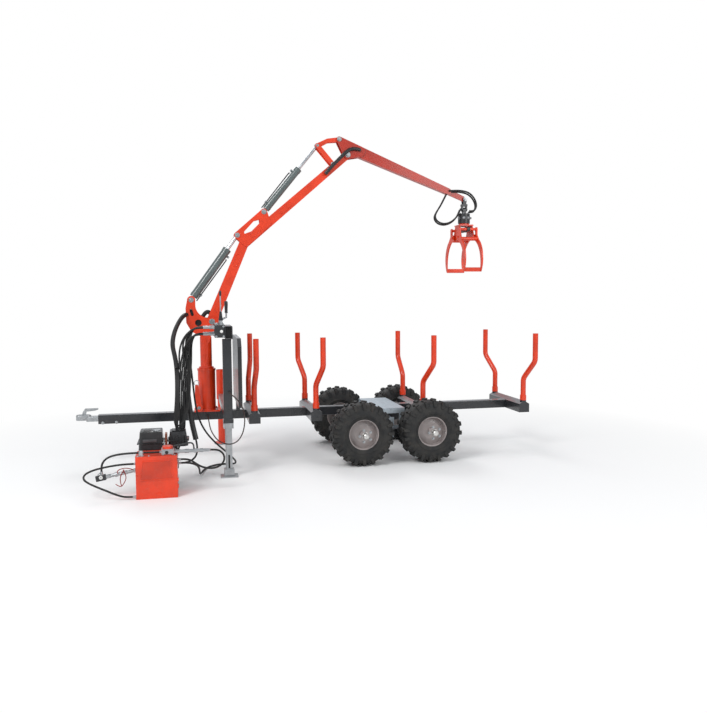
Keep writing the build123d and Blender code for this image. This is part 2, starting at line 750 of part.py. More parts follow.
# Valve block: ports with nuts towards the drawbar, a spool cap on each section, and the levers over them
VALVE_RIGHT = RAIL_X - RAIL_WIDTH / 2
VALVE_LEFT = VALVE_RIGHT - VALVE_LENGTH
VALVE_LOW = POST_TOP + VALVE_LIFT
VALVE_TOP = VALVE_LOW + VALVE_BODY
VALVE_DEPTH = VALVE_BACK - VALVE_FRONT
BELLOWS_LOW = VALVE_TOP + SPOOL_HEIGHT
with BuildPart() as valve:
    with Locations((VALVE_RIGHT - VALVE_LENGTH / 2, (VALVE_FRONT + VALVE_BACK) / 2, VALVE_LOW + VALVE_BODY / 2)):
        Box(VALVE_LENGTH, VALVE_DEPTH, VALVE_BODY)
    for section in range(SECTIONS):
        place_y = VALVE_FRONT + VALVE_DEPTH * (section + 0.5) / SECTIONS
        for row in PORT_ROWS:
            for start, radius in ((PORT_END, PORT_R), (VALVE_LEFT - NUT_LENGTH, NUT_R)):
                with BuildSketch(Plane.YZ.offset(start)):
                    with Locations((place_y, row)):
                        Circle(radius)
                extrude(amount=VALVE_LEFT + 1 - start)
        with BuildSketch(Plane.XY.offset(VALVE_TOP - 1)):
            with Locations((SPOOL_X, place_y)):
                Circle(SPOOL_R)
        extrude(amount=SPOOL_HEIGHT + 1)
        if section in JOYSTICKS:
            with BuildSketch(Plane.XY.offset(BELLOWS_LOW)):
                with Locations((SPOOL_X, place_y)):
                    Circle(BELLOWS_R)
            extrude(amount=BELLOWS_HEIGHT, taper=7)
            with BuildSketch(Plane.XY.offset(BELLOWS_LOW)):
                with Locations((SPOOL_X, place_y)):
                    Circle(LEVER_R)
            extrude(amount=LEVER_TOP - BELLOWS_LOW)
            with BuildSketch(Plane.XY.offset(LEVER_TOP - 2)):
                with Locations((SPOOL_X, place_y)):
                    Circle(KNOB_R)
            extrude(amount=KNOB_HEIGHT)
        if section in GRIPS:
            with BuildSketch(side_plane(place_y + LEVER_R)):
                polygon(
                    (SPOOL_X - 6, BELLOWS_LOW - 2),
                    (SPOOL_X + 8, BELLOWS_LOW - 2),
                    (GRIP_X + LEVER_R, BELLOWS_LOW + 22),
                    (GRIP_X + LEVER_R, GRIP_LOW + 2),
                    (GRIP_X - LEVER_R, GRIP_LOW + 2),
                    (GRIP_X - LEVER_R, BELLOWS_LOW + 28),
                )
            extrude(amount=2 * LEVER_R)
            with BuildSketch(Plane.XY.offset(GRIP_LOW)):
                with Locations((GRIP_X, place_y)):
                    Circle(KNOB_R)
            extrude(amount=GRIP_TOP - GRIP_LOW, taper=-2)
valve.part.label = "valve_block"
export_step(valve.part, "parts/valve_block.step")

# Tank of the power pack, with a raised panel on its front, the pump and its long coupler on its lid
TANK_TOP = GROUND + TANK_HEIGHT
TANK_Y = PACK_FRONT + PANEL_RISE + TANK_DEPTH / 2
PUMP_X = PACK_X + PUMP_IN
PUMP_Y = PACK_FRONT + PUMP_BACK
with BuildPart() as tank:
    with Locations((PACK_X, TANK_Y, GROUND + TANK_HEIGHT / 2)):
        Box(TANK_WIDTH, TANK_DEPTH, TANK_HEIGHT)
    fillet(tank.edges().filter_by(Axis.Z), 8)
    with BuildSketch(side_plane(PACK_FRONT + PANEL_RISE)):
        polygon(
            (PACK_X - PANEL_BASE / 2, GROUND + PANEL_FOOT),
            (PACK_X + PANEL_BASE / 2, GROUND + PANEL_FOOT),
            (PACK_X + PANEL_TOP / 2, GROUND + PANEL_FOOT + PANEL_HEIGHT),
            (PACK_X - PANEL_TOP / 2, GROUND + PANEL_FOOT + PANEL_HEIGHT),
        )
    extrude(amount=PANEL_RISE)
    with Locations((PUMP_X, PUMP_Y, TANK_TOP + PUMP_SIZE[2] / 2)):
        Box(*PUMP_SIZE)
    with BuildSketch(Plane.XY.offset(TANK_TOP + PUMP_SIZE[2])):
        with Locations((PUMP_X, PUMP_Y)):
            Circle(PUMP_SIZE[1] / 2)
    extrude(amount=18)
    with BuildSketch(Plane.YZ.offset(PUMP_X)):
        with Locations((PUMP_Y, TANK_TOP + PUMP_PORT)):
            Circle(COUPLER_R)
    extrude(amount=COUPLER_END - PUMP_X)
    with BuildSketch(Plane.XY.offset(TANK_TOP)):
        with Locations((PACK_X - FILLER_OUT, PUMP_Y - FILLER_FORE)):
            Circle(FILLER_R)
    extrude(amount=32)
    for side, stub_y, stub_z in TANK_STUBS:
        with Locations((PACK_X + side * (TANK_WIDTH + STUB_LENGTH) / 2, stub_y, stub_z)):
            Cylinder(STUB_R, STUB_LENGTH, rotation=(0, 90, 0))
tank.part.label = "pack_tank"
export_step(tank.part, "parts/pack_tank.step")

# Hand valve at the end of its coupler, on the tank's left side
TANK_LEFT = PACK_X - TANK_WIDTH / 2
slope = radians(HAND_VALVE_SLOPE)
coupler_run = Plane(
    origin=(TANK_LEFT - 6, HAND_VALVE_Y, HAND_VALVE_Z),
    x_dir=(0, 1, 0),
    z_dir=(-cos(slope), 0, -sin(slope)),
)
with BuildPart() as hand_valve:
    with BuildSketch(Plane.YZ.offset(TANK_LEFT - 8)):
        with Locations((HAND_VALVE_Y, HAND_VALVE_Z)):
            Circle(COUPLER_R + 5)
    extrude(amount=8)
    with BuildSketch(coupler_run):
        Circle(COUPLER_R)
    extrude(amount=HAND_VALVE_REACH)
    with BuildSketch(coupler_run.offset(HAND_VALVE_REACH)):
        Rectangle(*HAND_VALVE_SIZE[:2])
    extrude(amount=HAND_VALVE_SIZE[2])
    with BuildSketch(Plane.XY.offset(HAND_VALVE_TOP)):
        with Locations((HAND_VALVE_X, HAND_VALVE_Y)):
            Circle(STUB_R)
    extrude(amount=-36)
hand_valve.part.label = "hand_valve"
export_step(hand_valve.part, "parts/hand_valve.step")

# Engine of the power pack on its bed behind the tank: block, fuel tank, air cleaner and cooling fan
ENGINE_Y = ENGINE_FRONT + ENGINE_DEPTH / 2
with BuildPart() as engine:
    with Locations((PACK_X, ENGINE_Y, GROUND + BED_HEIGHT / 2)):
        Box(BED_WIDTH, ENGINE_DEPTH, BED_HEIGHT)
    with Locations((PACK_X, ENGINE_Y, GROUND + BED_HEIGHT + 130)):
        Box(BED_WIDTH - 80, ENGINE_DEPTH - 60, 260)
    with BuildSketch(Plane.XY.offset(GROUND + COVER_LOW)):
        with Locations((COVER_X, ENGINE_Y)):
            RectangleRounded(COVER_WIDTH, ENGINE_DEPTH - 50, 30)
    extrude(amount=COVER_TOP - COVER_LOW, taper=5)
    with BuildSketch(Plane.XY.offset(GROUND + FILTER_LOW)):
        with Locations((FILTER_X, ENGINE_Y)):
            RectangleRounded(FILTER_WIDTH, ENGINE_DEPTH - 90, 42)
    extrude(amount=FILTER_TOP - FILTER_LOW, taper=9)
    with Locations((FILTER_X - 40, ENGINE_Y, GROUND + FILTER_LOW - 20)):
        Box(70, 60, 60)
    with BuildSketch(side_plane(ENGINE_Y + ENGINE_DEPTH / 2 - 4)):
        with Locations((PACK_X, GROUND + 190)):
            Circle(98)
    extrude(amount=40)
    with BuildSketch(Plane.YZ.offset(PACK_X)):
        with Locations((SHAFT_Y, SHAFT_Z)):
            Circle(40)
    extrude(amount=GEAR_PUMP_END - 4 - PACK_X)
    with BuildSketch(Plane.YZ.offset(PACK_X)):
        with Locations((SHAFT_Y, SHAFT_Z)):
            Circle(COUPLER_R)
    extrude(amount=GEAR_PUMP_END - PACK_X)
    with Locations((ELBOW_PORT[0], (ELBOW_PORT[1] + SHAFT_Y) / 2, SHAFT_Z)):
        Box(2 * COUPLER_R, ELBOW_PORT[1] - SHAFT_Y + 2 * COUPLER_R, 2 * COUPLER_R)
    for port, radius, low, top in (
        (ELBOW_PORT, STUB_R, SHAFT_Z, PORT_TOP),
        (FILTER_PORT, STUB_R, SHAFT_Z, PORT_TOP),
        (FILTER_PORT, 20, GROUND + 30, PORT_TOP - 10),
    ):
        with BuildSketch(Plane.XY.offset(low)):
            with Locations(port):
                Circle(radius)
        extrude(amount=top - low)
engine.part.label = "pack_engine"
export_step(engine.part, "parts/pack_engine.step")

# Slewing column with the two crescent plates of the head
HEAD_OUTER = HEAD_GAP + HEAD_PLATE
with BuildPart() as head:
    with BuildSketch(Plane.XY.offset(HOUSING_TOP + SEAT)):
        with Locations((COLUMN_X, 0)):
            Circle(COLUMN_FLANGE_R)
    extrude(amount=14)
    with BuildSketch(Plane.XY.offset(HOUSING_TOP + 10)):
        with Locations((COLUMN_X, 0)):
            Circle(COLUMN_R)
    extrude(amount=COLUMN_TOP - HOUSING_TOP - 10)
    with BuildSketch(side_plane(HEAD_OUTER)):
        with BuildLine():
            horn_left = Line((937, 1033), (922, 960))
            left = Line(horn_left @ 1, (926, 830))
            lower = Line(left @ 1, (969, 752))
            Polyline(lower @ 1, (1043, 711), (1060, 660))
            bottom = ThreePointArc((1060, 660), (1093, 640), (1126, 660))
            Polyline(bottom @ 1, (1140, 711), (1190, 745), (1214, 800), (1214, 866), (1119, 872))
            throat = ThreePointArc((1119, 872), (1036, 913), (1009, 1000))
            Line(throat @ 1, (1009, 1033))
            ThreePointArc((1009, 1033), (973, 1069), (937, 1033))
        make_face()
        with Locations((1031, 829)):
            Circle(29, mode=Mode.SUBTRACT)
        with Locations(Location((975, 922), 105)):
            SlotOverall(64, 26, mode=Mode.SUBTRACT)
    extrude(amount=2 * HEAD_OUTER)
    with BuildSketch(side_plane(HEAD_GAP)):
        with Locations((1090, 1000)):
            Rectangle(420, 2 * (1000 - COLUMN_TOP))
    extrude(amount=2 * HEAD_GAP, mode=Mode.SUBTRACT)
    cross_pin(BOOM_PIN, BIG_PIN_R, HEAD_OUTER + 6)
    cross_pin(LIFT_BASE, PIN_R, HEAD_OUTER + 6)
head.part.label = "column_head"
export_step(head.part, "parts/column_head.step")

# Boom: tapered box from the foot to the knee and on to the elbow, cheeks for both cylinders
with BuildPart() as boom:
    with BuildSketch(side_plane(BOOM_HALF)):
        hull_of((BOOM_PIN, BOOM_FOOT_R), (BOOM_KNEE, BOOM_KNEE_R))
    extrude(amount=2 * BOOM_HALF)
    with BuildSketch(side_plane(BOOM_HALF)):
        hull_of((BOOM_KNEE, BOOM_KNEE_R), (ELBOW, BOOM_END_R))
    extrude(amount=2 * BOOM_HALF)
    for cheek_y in (BOOM_HALF + BOOM_CHEEK, -BOOM_HALF):
        with BuildSketch(side_plane(cheek_y)):
            hull_of(
                (LIFT_EYE, CHEEK_BOSS_R),
                (CURL_BASE, CHEEK_BOSS_R),
                ((1470, 1545), 34),
                ((1668, 1720), 26),
            )
        extrude(amount=BOOM_CHEEK)
    with BuildSketch(side_plane(BOOM_HALF + BOOM_CHEEK)):
        polygon((1452, 1640), (1544, 1740), (1590, 1752), (1594, 1722), (1516, 1644), (1456, 1622))
    extrude(amount=2 * (BOOM_HALF + BOOM_CHEEK), mode=Mode.SUBTRACT)
    cross_pin(BOOM_PIN, BOOM_FOOT_R - 12, HEAD_GAP - SIDE_GAP)
    cross_pin(BOOM_PIN, BIG_PIN_R + PIN_GAP, HEAD_GAP, mode=Mode.SUBTRACT)
    cross_pin(CURL_BASE, PIN_R, BOOM_HALF + BOOM_CHEEK + 6)
    cross_pin(ROCKER_BASE, PIN_R, BOOM_HALF + SIDE_GAP + ROCKER_PLATE + 6)
    cross_pin(ELBOW, BIG_PIN_R, ARM_HALF + ARM_PLATE + 8)
    for stub_y in (BOOM_HALF + BOOM_CHEEK + 6, -BOOM_HALF):
        with BuildSketch(side_plane(stub_y)):
            with Locations(LIFT_EYE):
                Circle(PIN_R)
        extrude(amount=BOOM_CHEEK + 6)
boom.part.label = "boom"
export_step(boom.part, "parts/boom.step")


def barrel_piece(label, base, target, radius, end, half, rod_radius):
    """A cylinder's barrel, with the eye at its base and a gland round the rod."""
    with BuildPart() as barrel:
        with BuildSketch(along(base, target).offset(BARREL_START)):
            ring_z(radius, rod_radius + 1)
        extrude(amount=end - BARREL_START)
        with BuildSketch(along(base, target).offset(BARREL_START - 12)):
            Circle(radius)
        extrude(amount=24)
        with BuildSketch(along(base, target)):
            Rectangle(2 * half, 30)
        extrude(amount=BARREL_START)
        cross_pin(base, EYE_R, half)
        cross_pin(base, PIN_R + PIN_GAP, half, mode=Mode.SUBTRACT)
    barrel.part.label = label
    export_step(barrel.part, f"parts/{label}.step")


def rod_piece(label, base, target, radius, inside, half):
    """A cylinder's rod, from inside the barrel to the eye at its far end."""
    with BuildPart() as rod:
        with BuildSketch(along(base, target).offset(inside)):
            Circle(radius)
        extrude(amount=distance(base, target) - inside)
        cross_pin(target, EYE_R, half)
        cross_pin(target, PIN_R + PIN_GAP, half, mode=Mode.SUBTRACT)
    rod.part.label = label
    export_step(rod.part, f"parts/{label}.step")


barrel_piece("lift_barrel", LIFT_BASE, LIFT_EYE, LIFT_BARREL_R, LIFT_BARREL_END, EYE_HALF, LIFT_ROD_R)
rod_piece("lift_rod", LIFT_BASE, LIFT_EYE, LIFT_ROD_R, 130, EYE_HALF)
barrel_piece("arm_barrel", CURL_BASE, CURL_EYE, CURL_BARREL_R, CURL_BARREL_END, EYE_HALF, CURL_ROD_R)
rod_piece("arm_rod", CURL_BASE, CURL_EYE, CURL_ROD_R, 190, CURL_EYE_HALF)

# Rocker: two bars from the boom to the cylinder's eye
with BuildPart() as rocker:
    inner = BOOM_HALF + SIDE_GAP
    for bar_y in (inner + ROCKER_PLATE, -inner):
        with BuildSketch(side_plane(bar_y)):
            hull_of((ROCKER_BASE, LINK_R), (CURL_EYE, LINK_R))
            with Locations(ROCKER_BASE):
                Circle(PIN_R + PIN_GAP, mode=Mode.SUBTRACT)
        extrude(amount=ROCKER_PLATE)
    middle_x = (ROCKER_BASE[0] + CURL_EYE[0]) / 2 - 22
    middle_z = (ROCKER_BASE[1] + CURL_EYE[1]) / 2 + 24
    cross_pin((middle_x + 6, middle_z - 2), 9, inner + 1)
rocker.part.label = "rocker"
export_step(rocker.part, "parts/rocker.step")

# Link: two bent bars from the cylinder's eye to the arm
LINK_BEND = ((CURL_EYE[0] + LINK_END[0]) / 2 - 6, (CURL_EYE[1] + LINK_END[1]) / 2 + 18)
LINK_LINE = ((CURL_EYE, LINK_R), (LINK_BEND, LINK_R - 3), (LINK_END, LINK_R))
with BuildPart() as link:
    for bar_y in (LINK_INNER + LINK_PLATE, -LINK_INNER):
        for first, second in zip(LINK_LINE, LINK_LINE[1:]):
            with BuildSketch(side_plane(bar_y)):
                hull_of(first, second)
            extrude(amount=LINK_PLATE)
        with BuildSketch(side_plane(bar_y)):
            with Locations(LINK_END):
                Circle(PIN_R + PIN_GAP)
        extrude(amount=LINK_PLATE, mode=Mode.SUBTRACT)
    cross_pin(LINK_BEND, 9, LINK_INNER + 1)
link.part.label = "link"
export_step(link.part, "parts/link.step")

# Arm: tapered box with root plates round the elbow, and the tongue at its tip
with BuildPart() as arm:
    with BuildSketch(side_plane(ARM_HALF)):
        hull_of((ARM_ROOT, ARM_ROOT_R), (ARM_NECK, ARM_NECK_R))
    extrude(amount=2 * ARM_HALF)
    for plate_y in (ARM_HALF + ARM_PLATE, -ARM_HALF):
        with BuildSketch(side_plane(plate_y)):
            hull_of((LINK_END, 25), (ELBOW, 36), (ARM_ROOT, ARM_ROOT_R - 2))
            with Locations(ELBOW):
                Circle(BIG_PIN_R + PIN_GAP, mode=Mode.SUBTRACT)
        extrude(amount=ARM_PLATE)
    cross_pin(LINK_END, PIN_R, ARM_HALF + ARM_PLATE + 6)
    with BuildSketch(side_plane(TIP_HALF)):
        hull_of((ARM_NECK, ARM_NECK_R - 2), (TIP_PIN, TIP_R))
        with Locations(TIP_PIN):
            Circle(PIN_R + PIN_GAP, mode=Mode.SUBTRACT)
    extrude(amount=2 * TIP_HALF)
arm.part.label = "arm"
export_step(arm.part, "parts/arm.step")

# Hanger: a clevis on the tip pin and, a quarter turn round, a clevis for the rotator's stem
HANGER_PLATE = 10.0
HANGER_IN = TIP_HALF + SIDE_GAP
BLOCK_TOP = TIP_PIN[1] - HANGER_DROP
BLOCK_HEIGHT = 20.0
with BuildPart() as hanger:
    for plate_y in (HANGER_IN + HANGER_PLATE, -HANGER_IN):
        with BuildSketch(side_plane(plate_y)):
            hull_of((TIP_PIN, 20), ((TIP_PIN[0], BLOCK_TOP - BLOCK_HEIGHT / 2), 12))
        extrude(amount=HANGER_PLATE)
    with Locations((TIP_PIN[0], 0, BLOCK_TOP - BLOCK_HEIGHT / 2)):
        Box(2 * (HANGER_IN + HANGER_PLATE), 2 * (HANGER_IN + HANGER_PLATE), BLOCK_HEIGHT)
    for plate_x in (-HANGER_IN - HANGER_PLATE, HANGER_IN):
        with BuildSketch(Plane.YZ.offset(TIP_PIN[0] + plate_x)):
            hull_of(((0, CROSS_PIN_Z), 20), ((0, BLOCK_TOP - 20), 18))
        extrude(amount=HANGER_PLATE)
    cross_pin(TIP_PIN, PIN_R, HANGER_IN + HANGER_PLATE + 6)
    with BuildSketch(Plane.YZ.offset(TIP_PIN[0] - HANGER_IN - HANGER_PLATE - 5)):
        with Locations((0, CROSS_PIN_Z)):
            Circle(PIN_R)
    extrude(amount=2 * (HANGER_IN + HANGER_PLATE + 5))
hanger.part.label = "hanger"
export_step(hanger.part, "parts/hanger.step")

# Rotator: stem with its eye, and the round motor
with BuildPart() as rotator:
    with BuildSketch(Plane.XY.offset(ROTATOR_TOP - ROTATOR_HEIGHT)):
        with Locations((GRAPPLE_X, 0)):
            Circle(ROTATOR_R)
    extrude(amount=ROTATOR_HEIGHT)
    with BuildSketch(Plane.YZ.offset(GRAPPLE_X - TIP_HALF)):
        hull_of(((0, CROSS_PIN_Z), 19), ((0, ROTATOR_TOP - 2), 22))
    extrude(amount=2 * TIP_HALF)
    with BuildSketch(Plane.YZ.offset(GRAPPLE_X - TIP_HALF)):
        with Locations((0, CROSS_PIN_Z)):
            Circle(PIN_R + PIN_GAP)
    extrude(amount=2 * TIP_HALF, mode=Mode.SUBTRACT)
rotator.part.label = "rotator"
export_step(rotator.part, "parts/rotator.step")

# Grapple frame under the rotor
JAW_PIVOTS = ((-JAW_PIVOT_Y, JAW_PIVOT_Z), (JAW_PIVOT_Y, JAW_PIVOT_Z))
with BuildPart() as grapple:
    with BuildSketch(Plane.XY.offset(FRAME_TOP + SEAT)):
        with Locations((GRAPPLE_X, 0)):
            Circle(ROTOR_R)
    extrude(amount=ROTOR_HEIGHT)
    with Locations((GRAPPLE_X, 0, FRAME_TOP + SEAT - FRAME_PLATE / 2)):
        Box(2 * (CHEEK_X + 10), 150, FRAME_PLATE)
    for plate_x in (-CHEEK_X - 10, CHEEK_X):
        with BuildSketch(Plane.YZ.offset(GRAPPLE_X + plate_x)):
            hull_of(
                (JAW_PIVOTS[0], 24),
                (JAW_PIVOTS[1], 24),
                ((-CHEEK_TOP_Y, FRAME_TOP - 10), 8),
                ((CHEEK_TOP_Y, FRAME_TOP - 10), 8),
            )
        extrude(amount=10)
    for pin_y, pin_z in JAW_PIVOTS:
        for start in (-JAW_X - JAW_PLATE - 8, CHEEK_X + 5):
            with BuildSketch(Plane.YZ.offset(GRAPPLE_X + start)):
                with Locations((pin_y, pin_z)):
                    Circle(PIN_R)
            extrude(amount=JAW_X + JAW_PLATE + 8 - CHEEK_X - 5)
grapple.part.label = "grapple_frame"
export_step(grapple.part, "parts/grapple_frame.step")

# Jaws: two curved plates each, joined by the ear tube, a spacer and the bar at the tips
TIP_Y = (LOG_R**2 - (LOG_Z - JAW_TIP_Z) ** 2) ** 0.5
for side, label in ((-1, "jaw_near"), (1, "jaw_far")):
    with BuildPart() as jaw:
        for plate_x in (-JAW_X - JAW_PLATE, JAW_X):
            with BuildSketch(Plane.YZ.offset(GRAPPLE_X + plate_x)):
                with BuildLine():
                    top = (side * 52, JAW_PIVOT_Z - 24)
                    inner_mid = (side * LOG_R * cos(radians(38)), LOG_Z + LOG_R * sin(radians(38)))
                    inner_end = (side * TIP_Y, JAW_TIP_Z)
                    outer = LOG_R + JAW_DEPTH
                    outer_top = (side * outer * cos(radians(52)), LOG_Z + outer * sin(radians(52)))
                    outer_mid = (side * outer * cos(radians(12)), LOG_Z + outer * sin(radians(12)))
                    inner = ThreePointArc(top, inner_mid, inner_end)
                    tip = Line(inner @ 1, (side * (TIP_Y + 12), JAW_TIP_Z - 4))
                    back = ThreePointArc(tip @ 1, outer_mid, outer_top)
                    Polyline(back @ 1, (side * 118, JAW_PIVOT_Z + 24), (side * 52, JAW_PIVOT_Z + 24), top)
                make_face()
                with Locations((side * JAW_PIVOT_Y, JAW_PIVOT_Z)):
                    Circle(PIN_R + PIN_GAP, mode=Mode.SUBTRACT)
            extrude(amount=JAW_PLATE)
            with BuildSketch(Plane.YZ.offset(GRAPPLE_X + plate_x)):
                hull_of(
                    ((side * JAW_EAR_Y, JAW_EAR_Z), 20),
                    ((side * 112, JAW_PIVOT_Z), 16),
                )
            extrude(amount=JAW_PLATE)
        reach = 2 * JAW_X + 2
        for bar_y, bar_z, bar_r in (
            (JAW_EAR_Y, JAW_EAR_Z, EAR_TUBE_R),
            (SPACER_Y, SPACER_Z, SPACER_R),
        ):
            with BuildSketch(Plane.YZ.offset(GRAPPLE_X - reach / 2)):
                with Locations((side * bar_y, bar_z)):
                    Circle(bar_r)
            extrude(amount=reach)
        with BuildSketch(Plane.YZ.offset(GRAPPLE_X - GRAB_EYE_HALF - SIDE_GAP)):
            with Locations((side * JAW_EAR_Y, JAW_EAR_Z)):
                Circle(EAR_TUBE_R + 1)
                Circle(EAR_PIN_R, mode=Mode.SUBTRACT)
        extrude(amount=2 * (GRAB_EYE_HALF + SIDE_GAP), mode=Mode.SUBTRACT)
        with BuildSketch(Plane.YZ.offset(GRAPPLE_X - JAW_X - JAW_PLATE)):
            polygon(
                (side * TIP_Y, JAW_TIP_Z),
                (side * (TIP_Y + 12), JAW_TIP_Z - 4),
                (side * (TIP_Y + 24), JAW_TIP_Z + 34),
                (side * (TIP_Y + 12), JAW_TIP_Z + 36),
            )
        extrude(amount=2 * (JAW_X + JAW_PLATE))
    jaw.part.label = label
    export_step(jaw.part, f"parts/{label}.step")

# Grapple cylinder between the ears. The rod's eye is slotted, because the jaws' link opens there.
near_ear = Plane(origin=(GRAPPLE_X, -JAW_EAR_Y, JAW_EAR_Z), x_dir=(1, 0, 0), z_dir=(0, 1, 0))
EYE_PLANE = Plane.YZ.offset(GRAPPLE_X - GRAB_EYE_HALF)
with BuildPart() as grab_barrel:
    with BuildSketch(near_ear.offset(GRAB_EYE_R)):
        ring_z(GRAB_BARREL_R, GRAB_ROD_R + 1)
    extrude(amount=GRAB_END - GRAB_EYE_R)
    with BuildSketch(near_ear.offset(GRAB_EYE_R)):
        Circle(GRAB_BARREL_R - 2)
    extrude(amount=GRAB_CAP)
    with BuildSketch(EYE_PLANE):
        hull_of(
            ((-JAW_EAR_Y, JAW_EAR_Z), GRAB_EYE_R),
            ((-JAW_EAR_Y + GRAB_EYE_R - 4, JAW_EAR_Z), 9),
        )
    extrude(amount=2 * GRAB_EYE_HALF)
    with BuildSketch(EYE_PLANE):
        with Locations((-JAW_EAR_Y, JAW_EAR_Z)):
            Circle(EAR_PIN_R + PIN_GAP)
    extrude(amount=2 * GRAB_EYE_HALF, mode=Mode.SUBTRACT)
grab_barrel.part.label = "grapple_barrel"
export_step(grab_barrel.part, "parts/grapple_barrel.step")

with BuildPart() as grab_rod:
    with BuildSketch(near_ear.offset(GRAB_ROD_START)):
        Circle(GRAB_ROD_R)
    extrude(amount=2 * JAW_EAR_Y - GRAB_ROD_START)
    with BuildSketch(EYE_PLANE):
        with Locations((JAW_EAR_Y, JAW_EAR_Z)):
            Circle(GRAB_EYE_R)
    extrude(amount=2 * GRAB_EYE_HALF)
    with BuildSketch(EYE_PLANE):
        hull_of(
            ((JAW_EAR_Y - SLOT_IN, JAW_EAR_Z), EAR_PIN_R + PIN_GAP),
            ((JAW_EAR_Y + SLOT_OUT, JAW_EAR_Z), EAR_PIN_R + PIN_GAP),
        )
    extrude(amount=2 * GRAB_EYE_HALF, mode=Mode.SUBTRACT)
grab_rod.part.label = "grapple_rod"
export_step(grab_rod.part, "parts/grapple_rod.step")

# Hoses that hang free or lie on the ground, each from fitting to fitting
HOSE = 15.0
HOSES = (
    ("hose_valve_1", HOSE, (
        (1061, -722, 812), (1008, -722, 812), (955, -724, 788), (908, -728, 738), (876, -734, 664),
        (866, -741, 574), (876, -748, 464), (890, -756, 350), (898, -764, 234), (900, -772, 122),
        (898, -770, 14), (876, -780, -84), (832, -835, -165), (832, -835, -228),
    )),
    ("hose_valve_2", HOSE, (
        (1061, -678, 812), (1008, -678, 812), (956, -682, 788), (914, -688, 738), (896, -696, 664),
        (900, -704, 570), (910, -711, 462), (922, -719, 350), (932, -727, 238), (944, -736, 128),
        (960, -748, 20), (980, -764, -68), (994, -790, -142), (986, -832, -202), (950, -866, -232),
        (902, -888, -245), (850, -888, -245),
    )),
    ("hose_valve_3", HOSE, (
        (1061, -634, 812), (1008, -634, 812), (958, -640, 786), (926, -648, 730), (920, -656, 648),
        (928, -662, 550), (936, -668, 440), (936, -674, 330), (926, -682, 220), (908, -694, 114),
        (884, -714, 10), (856, -738, -80), (814, -782, -158), (814, -782, -228),
    )),
    ("hose_return", HOSE, (
        (1061, -634, 759), (1014, -634, 759), (973, -638, 735), (949, -644, 694), (944, -652, 630),
        (952, -661, 546), (962, -670, 446), (971, -678, 344), (980, -686, 244), (992, -690, 146),
        (1016, -688, 54), (1056, -668, -34), (1110, -636, -112), (1168, -600, -178), (1226, -556, -238),
        (1280, -500, -300), (1316, -430, -354), (1318, -348, -394), (1278, -282, -411), (1206, -262, -411),
        (1136, -296, -411), (1080, -364, -411), (1046, -452, -410), (1028, -552, -406), (1014, -650, -396),
        (1010, -745, -373), (1006, -832, -338), (1005, -903, -303), (1000, -965, -270), (985, -1024, -238),
        (953, -1066, -213), (912, -1085, -200), (868, -1085, -200),
    )),
    ("hose_loop", HOSE, (
        (1086, -1197, -86), (1129, -1197, -86), (1168, -1189, -105), (1190, -1175, -141), (1190, -1159, -182),
        (1168, -1145, -219), (1129, -1136, -240), (1079, -1137, -243), (1028, -1147, -228), (986, -1165, -200),
        (950, -1185, -166), (912, -1199, -147), (868, -1199, -147),
    )),
    ("hose_left_1", HOSE, (
        (728.5, -1197, -86), (670, -1197, -86), (610, -1192, -85), (546, -1185, -85), (480, -1176, -88),
        (416, -1164, -95), (358, -1152, -109), (316, -1143, -136), (294, -1140, -176), (294, -1140, -221),
    )),
    ("hose_left_2", HOSE, (
        (518, -1060, -194), (464, -1060, -194), (404, -1050, -199), (342, -1030, -210), (282, -1010, -224),
        (222, -1006, -238), (174, -1034, -252), (156, -1090, -266), (172, -1148, -282), (222, -1188, -303),
        (282, -1208, -328), (344, -1219, -355), (404, -1228, -382), (462, -1232, -402), (518, -1232, -402),
    )),
    ("hose_leg", 10.0, (
        (1095, -40, -10), (1095, -92, -10), (1098, -150, -24), (1102, -220, -48), (1107, -300, -72),
        (1112, -390, -82), (1119, -490, -85), (1128, -590, -88), (1142, -680, -97), (1170, -758, -114),
        (1214, -820, -124), (1262, -862, -120), (1314, -868, -96), (1350, -864, -42), (1368, -858, 24),
        (1372, -852, 92), (1362, -864, 156), (1338, -872, 212), (1300, -866, 254), (1268, -838, 280),
        (1255, -786, 288), (1255, -736, 288),
    )),
)
for label, diameter, points in HOSES:
    route = [Vector(*point) for point in points]
    radii = []
    for before, corner, after in zip(route, route[1:], route[2:]):
        first = corner - before
        second = after - corner
        half_turn = radians(first.get_angle(second)) / 2
        radii.append(0.45 * min(first.length, second.length) / tan(half_turn))
    with BuildPart() as hose:
        with BuildLine() as line:
            FilletPolyline(*route, radius=radii)
        with BuildSketch(Plane(origin=route[0], z_dir=route[1] - route[0])):
            Circle(diameter / 2)
        sweep(path=line.line)
    length = sum(edge.length for edge in line.line.edges())
    share = hose.part.volume / (radians(180) * diameter**2 / 4 * length)
    print(label, "radius", round(min(radii)), "length", round(length), "volume share", round(share, 4))
    hose.part.label = label
    export_step(hose.part, f"parts/{label}.step")
